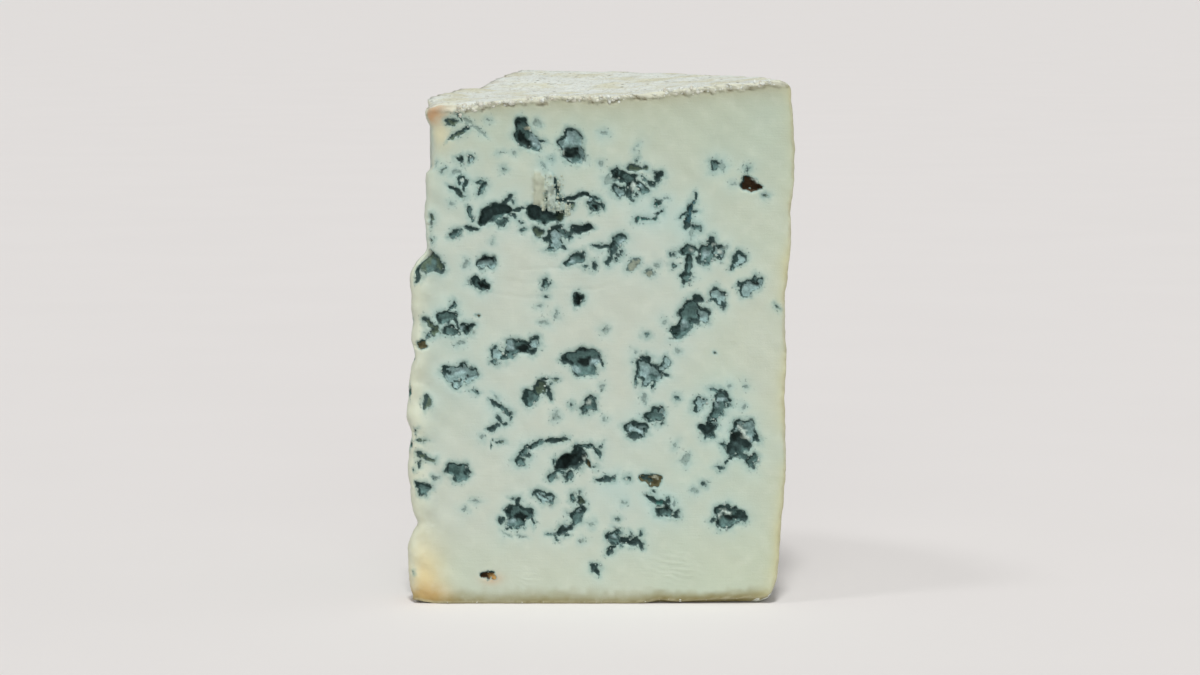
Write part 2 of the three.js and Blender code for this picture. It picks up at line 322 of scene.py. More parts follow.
# the front face's pockets as the photo shows them, from the tip and from the base:
# distance, height, half length, half width, turn in degrees, depth, kind
frontPockets = [
    (34.6, 134.4, 5.2, 2.8, -58, 3.4, "slate"), (38.1, 138.3, 1.4, 0.9, -30, 0.8, "faint"),
    (39.3, 132.8, 1.4, 0.5, 10, 0.8, "slate"), (47.8, 131.9, 5.3, 3.4, -76, 3.4, "pale"),
    (51.7, 127.4, 0.9, 0.5, -20, 0.4, "faint"), (41.8, 127.9, 0.6, 0.5, 0, 0.5, "slate"),
    (39.8, 126.4, 1.3, 0.4, -60, 0.3, "faint"), (57.7, 135.4, 1.2, 0.6, -10, 0.4, "faint"),
    (13.4, 138.5, 1.5, 1.1, 0, 1.5, "olive"), (15.4, 140.0, 1.3, 0.4, -60, 0.6, "olive"),
    (18.0, 138.7, 1.5, 0.8, -40, 0.8, "faint"), (15.2, 134.9, 4.1, 0.65, 37, 0.8, "olive"),
    (17.6, 136.6, 1.6, 0.6, 15, 0.8, "slate"), (21.6, 135.9, 2.9, 0.4, -32, 0.5, "faint"),
    (23.9, 139.0, 0.6, 0.4, 0, 0.4, "faint"), (15.8, 127.5, 1.2, 1.0, -10, 1.8, "deep"),
    (18.9, 127.8, 1.0, 1.0, 0, 0.8, "pale"), (11.1, 124.8, 0.8, 0.5, 45, 0.5, "olive"),
    (8.5, 126.2, 0.9, 0.8, 0, 0.3, "faint"), (28.6, 124.9, 0.6, 0.5, 0, 0.5, "olive"),
    (31.2, 129.8, 1.0, 0.5, 0, 0.3, "faint"), (27.5, 129.7, 1.3, 0.3, 10, 0.2, "faint"),
    (14.6, 124.0, 1.3, 0.7, -20, 0.8, "faint"), (16.5, 121.7, 1.6, 1.3, 70, 1.2, "pale"),
    (17.0, 120.0, 1.6, 0.5, 60, 1.0, "slate"), (14.9, 118.7, 2.4, 0.75, -42, 1.4, "deep"),
    (16.3, 117.2, 0.8, 0.6, 0, 1.0, "olive"), (21.7, 118.9, 2.2, 0.65, 62, 1.2, "slate"),
    (21.7, 121.2, 1.0, 0.5, -10, 0.6, "slate"), (23.4, 120.0, 0.6, 0.4, 0, 0.4, "faint"),
    (13.2, 115.3, 0.6, 0.4, 0, 0.3, "faint"), (18.7, 111.9, 2.3, 0.6, -72, 1.0, "slate"),
    (18.8, 107.9, 2.3, 0.65, -5, 1.0, "deep"), (14.4, 106.6, 2.2, 1.0, 28, 1.5, "slate"),
    (27.9, 109.6, 1.6, 1.0, 20, 2.0, "slate"), (24.9, 112.1, 5.0, 2.6, 24, 4.6, "deep"),
    (29.6, 116.4, 2.7, 0.6, 45, 1.4, "deep"), (30.9, 115.6, 0.9, 0.35, -70, 0.8, "slate"),
    (32.3, 113.2, 2.6, 0.5, 5, 1.0, "deep"), (30.6, 111.6, 1.8, 0.7, -30, 1.6, "deep"),
    (32.8, 109.9, 1.0, 0.5, -30, 1.0, "slate"), (34.0, 107.7, 0.9, 0.5, 50, 0.8, "slate"),
    (39.8, 112.0, 5.2, 2.5, -8, 5.0, "deep"), (44.4, 111.2, 2.0, 1.2, 60, 3.0, "olive"),
    (43.4, 119.6, 3.3, 0.45, -77, 1.4, "deep"), (44.9, 116.2, 1.7, 0.75, -5, 2.2, "deep"),
    (49.8, 117.2, 4.0, 0.6, 9, 1.6, "deep"), (55.0, 116.7, 1.7, 0.5, -12, 1.0, "slate"),
    (56.6, 114.9, 1.6, 0.4, -75, 0.8, "slate"), (54.3, 114.6, 2.0, 1.7, -50, 1.8, "slate"),
    (47.8, 114.8, 1.4, 1.0, 10, 1.4, "olive"), (42.9, 105.2, 3.8, 2.4, 80, 2.4, "pale"),
    (45.9, 106.4, 2.2, 1.0, -35, 2.0, "slate"), (50.0, 107.6, 3.6, 1.4, 8, 3.5, "deep"),
    (47.3, 105.2, 0.8, 0.6, 60, 0.8, "slate"), (38.3, 107.0, 1.8, 1.3, -10, 2.0, "olive"),
    (45.5, 102.4, 1.2, 0.55, -25, 1.0, "deep"), (41.6, 102.1, 1.4, 0.4, 5, 0.8, "slate"),
    (7.0, 110.6, 1.3, 0.9, 60, 1.3, "olive"), (6.3, 108.5, 1.1, 0.7, 70, 1.2, "olive"),
    (6.6, 104.3, 1.1, 0.8, 10, 0.9, "olive"), (7.0, 98.2, 3.9, 3.0, -15, 3.0, "olive"),
    (10.2, 95.8, 1.4, 0.6, -10, 1.4, "deep"), (3.6, 94.2, 2.6, 0.9, 78, 2.0, "deep"),
    (2.3, 96.8, 1.0, 0.5, -60, 1.0, "slate"), (4.2, 74.1, 2.2, 1.3, 15, 2.0, "umber"),
    (61.4, 123.6, 2.4, 2.1, -20, 3.0, "slate"), (64.7, 121.6, 3.2, 1.9, -42, 3.2, "slate"),
    (65.9, 125.2, 2.3, 0.9, 0, 1.6, "olive"), (66.6, 127.4, 0.9, 0.4, 60, 0.5, "olive"),
    (69.3, 125.5, 0.9, 0.7, 0, 1.2, "olive"), (67.4, 131.7, 0.7, 0.4, 50, 0.4, "faint"),
    (66.4, 130.0, 0.5, 0.5, 0, 0.4, "faint"), (56.2, 126.6, 0.7, 0.9, 0, 0.2, "faint"),
    (58.5, 122.0, 1.5, 1.2, 0, 0.3, "faint"), (73.0, 123.2, 1.7, 1.4, 70, 2.4, "deep"),
    (71.3, 120.4, 1.2, 0.9, 60, 1.8, "deep"), (69.2, 121.9, 2.0, 0.45, -30, 1.0, "slate"),
    (61.8, 118.7, 2.2, 1.8, -30, 1.8, "pale"), (64.6, 118.6, 1.9, 0.9, 80, 1.8, "deep"),
    (65.0, 116.7, 1.2, 0.6, -20, 1.4, "slate"), (68.6, 119.0, 2.2, 1.3, -45, 1.8, "slate"),
    (66.7, 117.6, 0.8, 0.6, 0, 1.0, "slate"), (66.9, 110.8, 1.3, 0.5, 55, 1.0, "teal"),
    (69.0, 110.9, 1.9, 0.45, -8, 0.9, "teal"), (71.6, 110.6, 0.9, 0.5, 0, 1.0, "teal"),
    (73.4, 112.5, 1.6, 0.4, 45, 0.9, "teal"), (72.8, 115.0, 1.1, 0.6, 10, 1.0, "teal"),
    (75.0, 116.2, 1.3, 0.4, 20, 0.5, "faint"), (82.1, 111.6, 3.6, 1.0, 80, 1.6, "blue"),
    (83.1, 116.2, 1.8, 0.5, 72, 0.8, "blue"), (80.7, 112.1, 1.4, 0.6, 30, 1.2, "slate"),
    (83.9, 112.8, 1.0, 0.5, 0, 1.0, "slate"), (81.4, 108.8, 1.2, 0.8, 20, 1.4, "deep"),
    (84.0, 108.3, 1.6, 0.8, -25, 1.4, "slate"), (82.6, 106.3, 1.6, 0.6, 80, 0.4, "faint"),
    (89.2, 126.2, 1.9, 1.5, 60, 1.2, "slate"), (91.2, 126.0, 1.3, 1.1, 0, 0.3, "faint"),
    (99.5, 120.7, 3.1, 2.3, 3, 5.0, "brown"), (98.6, 125.1, 0.6, 0.6, 0, 0.5, "olive"),
    (103.9, 117.5, 0.6, 0.5, 0, 0.5, "olive"), (94.8, 120.7, 0.6, 0.4, 0, 0.2, "faint"),
    (17.4, 97.7, 1.1, 0.7, 60, 0.5, "faint"), (23.2, 98.2, 2.9, 1.9, 4, 2.4, "pale"),
    (21.7, 91.6, 3.1, 1.8, -28, 2.6, "slate"), (18.2, 92.6, 0.9, 0.5, -60, 0.4, "faint"),
    (20.8, 82.5, 0.9, 0.5, -45, 0.5, "umber"), (13.7, 85.6, 1.5, 0.9, 65, 1.4, "slate"),
    (11.5, 82.2, 3.0, 1.9, 15, 2.0, "slate"), (14.6, 80.7, 1.7, 0.6, -60, 1.4, "deep"),
    (17.5, 78.8, 2.2, 1.8, 0, 2.4, "slate"), (12.8, 78.2, 2.4, 1.6, -20, 2.0, "slate"),
    (8.5, 78.4, 1.8, 1.3, 50, 1.8, "olive"), (6.2, 80.6, 1.9, 0.9, -38, 1.4, "olive"),
    (6.4, 77.0, 0.9, 0.6, 60, 1.0, "slate"), (15.9, 74.6, 1.3, 0.6, 25, 0.6, "faint"),
    (31.7, 73.6, 3.6, 2.5, 10, 3.0, "slate"), (36.9, 74.7, 2.0, 1.9, 10, 2.0, "pale"),
    (36.4, 72.1, 1.8, 0.8, 5, 1.6, "deep"), (26.1, 71.8, 1.9, 1.6, 0, 1.0, "pale"),
    (25.7, 69.5, 1.2, 0.6, 0, 0.8, "slate"), (29.3, 70.6, 2.2, 0.9, 0, 1.2, "slate"),
    (25.1, 104.2, 0.9, 0.4, 80, 0.4, "faint"), (40.6, 91.9, 1.5, 1.2, 80, 1.8, "slate"),
    (40.5, 88.1, 0.6, 0.5, 0, 0.8, "slate"), (38.8, 85.3, 0.9, 0.5, 0, 0.6, "faint"),
    (43.6, 82.9, 1.2, 0.5, 80, 0.2, "faint"), (40.0, 80.6, 1.4, 0.6, -20, 0.2, "faint"),
    (50.0, 87.3, 2.0, 1.5, 75, 2.6, "slate"), (57.6, 78.2, 1.3, 1.0, 70, 0.2, "faint"),
    (15.6, 66.2, 5.2, 2.6, -2, 2.4, "pale"), (14.9, 63.2, 1.7, 1.4, 0, 1.8, "pale"),
    (11.4, 66.3, 1.6, 0.8, 0, 1.6, "deep"), (19.8, 60.8, 1.5, 0.4, -10, 0.6, "slate"),
    (25.7, 57.0, 2.7, 0.6, -28, 1.2, "deep"), (26.3, 58.6, 1.6, 0.35, -45, 0.5, "faint"),
    (28.6, 54.9, 2.4, 0.7, -48, 1.2, "slate"), (30.1, 54.0, 1.4, 0.4, -80, 0.8, "slate"),
    (27.1, 52.6, 1.5, 0.35, -62, 0.8, "deep"), (28.3, 51.5, 0.9, 0.35, 0, 0.8, "slate"),
    (25.3, 50.6, 1.9, 0.65, 28, 1.0, "deep"), (22.0, 47.1, 0.6, 0.5, 0, 0.3, "faint"),
    (24.7, 45.4, 1.6, 0.35, 62, 0.6, "umber"), (27.3, 46.1, 0.9, 0.35, 0, 0.5, "olive"),
    (5.9, 57.3, 1.9, 0.9, 85, 1.2, "olive"), (2.2, 49.3, 1.1, 0.5, 40, 0.8, "olive"),
    (4.5, 46.2, 1.9, 0.5, 0, 0.8, "olive"), (4.1, 41.9, 1.6, 0.8, -15, 1.0, "olive"),
    (6.6, 41.0, 1.6, 0.55, -8, 1.0, "olive"), (8.3, 40.9, 0.5, 0.4, 0, 0.4, "olive"),
    (3.7, 39.3, 1.3, 0.5, 60, 0.8, "olive"), (1.4, 37.6, 0.6, 0.5, 0, 0.6, "slate"),
    (7.9, 35.3, 0.5, 0.4, 0, 0.5, "olive"), (9.4, 35.3, 0.5, 0.4, 0, 0.4, "faint"),
    (4.9, 32.3, 2.3, 2.0, -30, 2.0, "slate"), (0.7, 8.1, 0.7, 1.0, 0, 0.8, "slate"),
    (36.0, 58.9, 2.9, 2.3, 45, 2.6, "slate"), (38.9, 61.8, 2.6, 1.6, 50, 2.6, "olive"),
    (40.1, 64.2, 1.8, 0.5, 25, 1.2, "deep"), (43.3, 64.3, 1.3, 0.4, 5, 0.5, "olive"),
    (41.4, 60.4, 2.0, 0.7, -72, 1.6, "deep"), (42.0, 62.3, 0.9, 0.4, 50, 0.7, "slate"),
    (51.4, 69.3, 5.2, 3.9, -6, 3.4, "slate"), (46.4, 69.1, 2.2, 0.7, -12, 1.6, "deep"),
    (56.6, 69.3, 1.9, 0.6, -75, 1.4, "deep"), (53.1, 56.5, 2.3, 2.1, 60, 2.2, "slate"),
    (51.9, 54.5, 0.9, 0.5, 0, 1.0, "deep"), (54.6, 58.6, 0.6, 0.5, 0, 0.8, "slate"),
    (47.9, 56.7, 0.7, 0.6, 0, 0.8, "slate"), (56.6, 61.9, 1.1, 0.5, 70, 0.4, "faint"),
    (57.6, 52.7, 0.9, 0.5, 75, 0.2, "faint"), (43.4, 53.4, 1.1, 1.2, 0, 0.4, "faint"),
    (49.0, 98.9, 3.3, 1.5, 25, 2.0, "slate"), (51.4, 100.2, 1.1, 0.7, 40, 1.4, "deep"),
    (51.7, 96.9, 0.6, 0.5, 40, 0.6, "slate"), (54.6, 97.3, 1.5, 0.8, 75, 1.3, "deep"),
    (56.4, 102.5, 2.7, 0.6, -6, 1.2, "deep"), (61.4, 103.9, 3.4, 1.6, 52, 2.0, "slate"),
    (60.3, 101.7, 2.2, 0.9, 80, 2.0, "deep"), (59.0, 98.6, 1.7, 0.7, 58, 1.2, "deep"),
    (62.2, 100.7, 0.9, 0.5, 50, 0.8, "slate"), (61.0, 99.3, 1.1, 0.4, 70, 0.8, "slate"),
    (65.5, 97.6, 2.4, 1.3, 33, 0.2, "flat"), (70.4, 95.3, 1.5, 1.1, -5, 0.3, "flat"),
    (72.8, 97.2, 0.5, 0.5, 0, 0.3, "faint"), (71.8, 94.4, 0.6, 0.3, 0, 0.3, "faint"),
    (69.7, 77.0, 0.8, 0.6, 0, 0.7, "slate"), (66.4, 72.2, 0.6, 0.7, 0, 0.4, "faint"),
    (75.1, 81.2, 0.6, 0.8, 0, 0.3, "faint"), (78.9, 72.5, 0.8, 0.6, 0, 0.4, "faint"),
    (89.1, 71.9, 0.5, 0.5, 0, 0.5, "umber"), (77.2, 100.4, 0.9, 0.8, 30, 0.9, "deep"),
    (77.6, 96.9, 0.8, 0.6, 0, 0.7, "slate"), (81.6, 101.8, 2.4, 1.6, 15, 2.2, "slate"),
    (79.3, 101.2, 1.2, 0.5, 10, 0.9, "slate"), (84.2, 101.4, 0.9, 0.5, -50, 0.9, "slate"),
    (82.0, 97.8, 2.9, 1.1, 88, 2.4, "slate"), (81.1, 93.6, 1.9, 1.7, 35, 1.8, "slate"),
    (83.3, 93.6, 0.7, 0.3, 30, 0.3, "faint"), (84.6, 98.6, 1.2, 0.6, -50, 1.5, "deep"),
    (87.1, 100.8, 3.4, 2.6, 50, 2.6, "slate"), (90.4, 101.2, 2.1, 1.8, 0, 2.0, "pale"),
    (88.4, 104.4, 1.4, 0.8, 70, 1.5, "deep"), (90.2, 99.2, 1.0, 0.6, 0, 1.2, "deep"),
    (86.9, 97.6, 1.2, 0.7, 20, 1.2, "slate"), (92.6, 102.6, 0.6, 0.6, 0, 0.5, "faint"),
    (96.3, 99.0, 2.8, 1.7, 45, 1.4, "pale"), (94.3, 97.0, 0.7, 0.5, 0, 0.8, "slate"),
    (99.7, 91.0, 3.8, 2.0, 33, 1.6, "pale"), (101.0, 93.4, 1.4, 0.8, 60, 1.2, "slate"),
    (96.7, 91.4, 0.9, 0.6, 60, 1.0, "deep"), (90.5, 88.2, 2.6, 2.1, -60, 1.6, "pale"),
    (91.4, 85.7, 1.2, 0.7, -60, 1.4, "deep"), (88.1, 87.2, 1.0, 0.5, 10, 0.7, "slate"),
    (81.8, 82.4, 6.2, 3.0, 62, 3.4, "slate"), (84.3, 87.3, 1.8, 1.0, -10, 2.6, "deep"),
    (86.1, 83.1, 2.4, 1.9, -50, 1.8, "pale"), (84.0, 81.0, 1.8, 0.8, 10, 1.8, "deep"),
    (78.0, 78.6, 1.5, 1.2, 30, 2.4, "deep"), (78.6, 76.8, 1.3, 0.7, -20, 1.4, "slate"),
    (76.9, 75.8, 0.9, 0.4, 10, 0.5, "faint"), (107.5, 85.1, 0.6, 0.6, 0, 0.8, "olive"),
    (70.0, 66.2, 4.0, 3.3, -45, 2.8, "pale"), (69.4, 69.9, 1.6, 1.1, 10, 2.8, "deep"),
    (71.9, 68.0, 1.6, 0.6, -25, 1.4, "deep"), (74.8, 68.7, 2.4, 1.2, 60, 1.6, "pale"),
    (74.4, 66.2, 1.7, 0.5, -25, 1.2, "deep"), (66.8, 64.5, 2.1, 0.6, 85, 1.4, "slate"),
    (71.9, 62.6, 1.6, 0.4, 75, 1.0, "slate"), (68.9, 58.6, 1.6, 0.4, -70, 0.3, "faint"),
    (65.9, 69.6, 0.8, 0.4, 80, 0.3, "faint"), (78.4, 58.6, 0.9, 0.7, 0, 0.7, "slate"),
    (84.9, 57.3, 2.5, 1.5, 62, 1.2, "pale"), (83.7, 55.3, 1.0, 0.6, 45, 1.0, "deep"),
    (91.8, 59.2, 2.4, 1.8, -25, 2.2, "slate"), (92.4, 59.9, 1.9, 0.6, -15, 1.6, "deep"),
    (88.9, 61.0, 1.5, 0.5, -22, 1.0, "slate"), (90.3, 55.8, 3.4, 1.9, 55, 2.2, "slate"),
    (93.8, 56.4, 0.9, 0.7, 60, 0.7, "slate"), (91.6, 54.2, 0.9, 0.6, 0, 1.0, "slate"),
    (88.0, 52.6, 1.7, 0.7, 70, 1.6, "deep"), (87.8, 49.5, 2.8, 2.1, 10, 3.6, "deep"),
    (89.7, 51.2, 1.6, 1.0, -50, 1.0, "pale"), (88.8, 47.4, 1.2, 0.7, 10, 1.4, "slate"),
    (86.6, 47.3, 0.8, 0.6, 0, 0.9, "slate"), (94.1, 62.5, 0.6, 0.4, 45, 0.3, "faint"),
    (97.5, 56.3, 0.6, 0.5, 60, 0.4, "faint"), (98.4, 62.2, 0.7, 0.6, 0, 0.2, "faint"),
    (72.0, 53.9, 3.3, 2.0, 20, 2.4, "slate"), (74.0, 54.9, 1.5, 1.0, -60, 1.4, "pale"),
    (73.6, 51.4, 0.8, 0.4, 0, 0.8, "deep"), (66.7, 49.4, 3.6, 2.5, -5, 2.2, "pale"),
    (66.8, 51.2, 2.5, 0.75, -5, 2.2, "deep"), (66.6, 47.7, 2.0, 0.7, -8, 2.0, "deep"),
    (69.6, 49.2, 0.9, 0.5, -60, 0.8, "slate"), (98.3, 49.0, 4.0, 3.2, -35, 2.6, "pale"),
    (96.2, 45.0, 3.8, 3.0, 55, 4.4, "deep"), (101.6, 46.7, 1.2, 0.9, -40, 2.0, "deep"),
    (92.4, 45.0, 1.0, 0.5, -20, 0.8, "slate"), (97.4, 41.8, 1.6, 0.8, 0, 2.4, "slate"),
    (93.5, 40.5, 1.9, 0.35, 35, 0.7, "slate"), (91.3, 39.0, 1.3, 0.5, 10, 0.7, "slate"),
    (90.9, 38.0, 0.8, 0.3, 80, 0.5, "slate"), (100.1, 40.2, 2.2, 1.6, 78, 2.4, "slate"),
    (14.9, 37.2, 3.3, 2.7, -15, 2.6, "slate"), (17.4, 36.9, 1.0, 0.7, 0, 1.6, "deep"),
    (32.8, 40.4, 1.8, 1.4, 10, 1.6, "slate"), (34.3, 43.6, 2.3, 0.9, 58, 1.3, "slate"),
    (35.3, 42.0, 0.9, 0.6, -50, 1.0, "deep"), (38.1, 45.6, 2.6, 0.6, 28, 1.2, "slate"),
    (42.7, 46.3, 3.3, 0.7, 4, 1.4, "deep"), (45.9, 46.6, 1.2, 0.7, 15, 0.8, "olive"),
    (48.3, 40.6, 5.0, 2.7, 26, 5.5, "deep"), (53.0, 39.8, 1.8, 0.7, -65, 2.4, "umber"),
    (43.0, 40.5, 1.2, 0.4, 85, 0.8, "slate"), (50.9, 44.6, 3.2, 0.6, 8, 1.4, "slate"),
    (49.2, 43.8, 0.8, 0.5, 60, 1.2, "slate"), (55.3, 43.1, 2.6, 0.55, -58, 1.6, "slate"),
    (56.4, 44.6, 0.8, 0.4, 50, 0.7, "slate"), (54.9, 38.8, 0.5, 0.4, 0, 0.4, "olive"),
    (47.2, 36.1, 1.5, 1.1, 55, 2.0, "slate"), (42.4, 36.2, 1.9, 1.0, 30, 1.6, "slate"),
    (45.0, 36.9, 1.8, 0.5, -5, 1.0, "slate"), (39.9, 30.2, 3.2, 1.7, -20, 1.0, "pale"),
    (37.3, 30.8, 0.9, 0.7, 60, 1.2, "deep"), (42.2, 28.7, 1.2, 0.5, -15, 0.7, "slate"),
    (32.3, 24.5, 3.9, 3.1, 20, 3.0, "slate"), (32.3, 28.8, 1.8, 0.8, 80, 1.6, "deep"),
    (31.3, 29.4, 0.9, 0.4, 0, 0.8, "deep"), (34.6, 26.4, 2.2, 0.6, -30, 1.6, "deep"),
    (30.5, 25.8, 1.5, 0.8, 50, 1.4, "slate"), (27.5, 22.9, 1.1, 0.7, 15, 1.0, "deep"),
    (31.4, 20.8, 2.6, 0.35, 5, 0.6, "slate"), (36.3, 22.8, 1.6, 0.4, -75, 0.8, "slate"),
    (20.0, 28.7, 1.5, 0.4, 0, 0.3, "faint"), (16.8, 26.4, 0.8, 0.5, 0, 0.2, "faint"),
    (28.3, 19.2, 1.9, 0.3, -38, 0.3, "faint"), (33.0, 18.6, 1.6, 0.3, -15, 0.3, "faint"),
    (50.4, 28.7, 1.6, 1.3, -60, 2.4, "olive"), (50.4, 31.0, 0.7, 0.3, 80, 0.5, "olive"),
    (48.0, 29.6, 1.3, 0.6, -75, 1.0, "slate"), (48.9, 31.0, 0.6, 0.3, 30, 0.4, "faint"),
    (49.7, 24.3, 3.1, 1.8, 62, 2.4, "slate"), (51.0, 25.4, 1.1, 0.5, 10, 1.4, "deep"),
    (46.9, 24.9, 0.5, 0.5, 0, 0.3, "faint"), (45.9, 20.6, 2.6, 1.3, 22, 2.2, "deep"),
    (47.6, 21.9, 0.7, 0.5, 60, 1.4, "deep"), (46.4, 18.8, 0.9, 0.6, 0, 1.0, "slate"),
    (41.9, 19.1, 1.2, 0.6, 10, 0.8, "slate"), (43.6, 17.8, 1.2, 0.3, -52, 0.5, "slate"),
    (51.2, 17.1, 0.7, 0.6, 0, 0.3, "faint"), (53.5, 22.0, 0.9, 0.8, 0, 0.2, "faint"),
    (55.0, 8.6, 1.9, 0.9, -68, 1.4, "deep"), (57.6, 34.9, 2.3, 0.8, 3, 1.0, "deep"),
    (60.2, 35.5, 1.0, 0.5, 20, 0.6, "teal"), (60.6, 35.9, 0.7, 0.4, 60, 0.5, "faint"),
    (64.4, 35.4, 0.8, 0.7, 0, 0.6, "slate"), (62.8, 28.1, 0.6, 0.5, 0, 0.3, "faint"),
    (61.0, 23.4, 0.6, 0.5, 60, 0.5, "olive"), (60.1, 17.8, 2.3, 2.0, 0, 2.2, "slate"),
    (59.3, 14.2, 1.7, 0.9, 35, 1.5, "deep"), (61.6, 15.7, 1.1, 0.6, -20, 1.0, "slate"),
    (62.0, 19.1, 0.7, 0.5, 60, 0.7, "slate"), (60.2, 20.6, 0.6, 0.3, 80, 0.4, "faint"),
    (65.0, 16.9, 2.9, 1.1, 0, 2.4, "deep"), (64.7, 18.7, 1.0, 0.4, 80, 1.0, "deep"),
    (68.1, 15.9, 1.5, 0.8, -55, 1.4, "deep"), (68.2, 18.8, 1.3, 0.6, 72, 1.0, "slate"),
    (71.9, 31.2, 0.7, 0.5, 0, 0.5, "slate"), (83.6, 32.0, 1.1, 0.9, 0, 0.2, "faint"),
    (78.0, 45.2, 0.9, 0.6, 40, 0.3, "faint"), (81.2, 40.7, 1.7, 1.2, 80, 0.4, "faint"),
    (71.8, 34.6, 3.6, 1.8, -8, 1.5, "umber"), (69.8, 35.2, 1.2, 0.8, -40, 2.2, "deep"),
    (73.5, 28.3, 3.2, 0.7, -24, 1.6, "teal"), (71.3, 29.1, 1.8, 0.6, -32, 1.6, "deep"),
    (75.9, 28.6, 0.7, 0.9, 0, 1.0, "deep"), (75.0, 25.6, 2.6, 1.8, 10, 2.2, "slate"),
    (78.5, 24.7, 1.4, 0.9, 62, 1.2, "deep"), (77.9, 28.3, 0.7, 0.4, 80, 0.3, "faint"),
    (86.6, 33.9, 0.8, 0.7, 0, 0.7, "deep"), (93.4, 24.1, 4.1, 3.2, 8, 2.8, "slate"),
    (97.0, 24.1, 1.7, 1.4, 0, 2.0, "deep"), (89.1, 22.8, 0.8, 0.6, 0, 1.0, "deep"),
    (93.0, 26.9, 2.6, 0.8, -5, 1.6, "deep"), (23.9, 6.8, 2.3, 1.2, -20, 2.4, "brown"),
    (40.7, 115.8, 2.9, 0.4, 90, 1.0, "deep"),
]
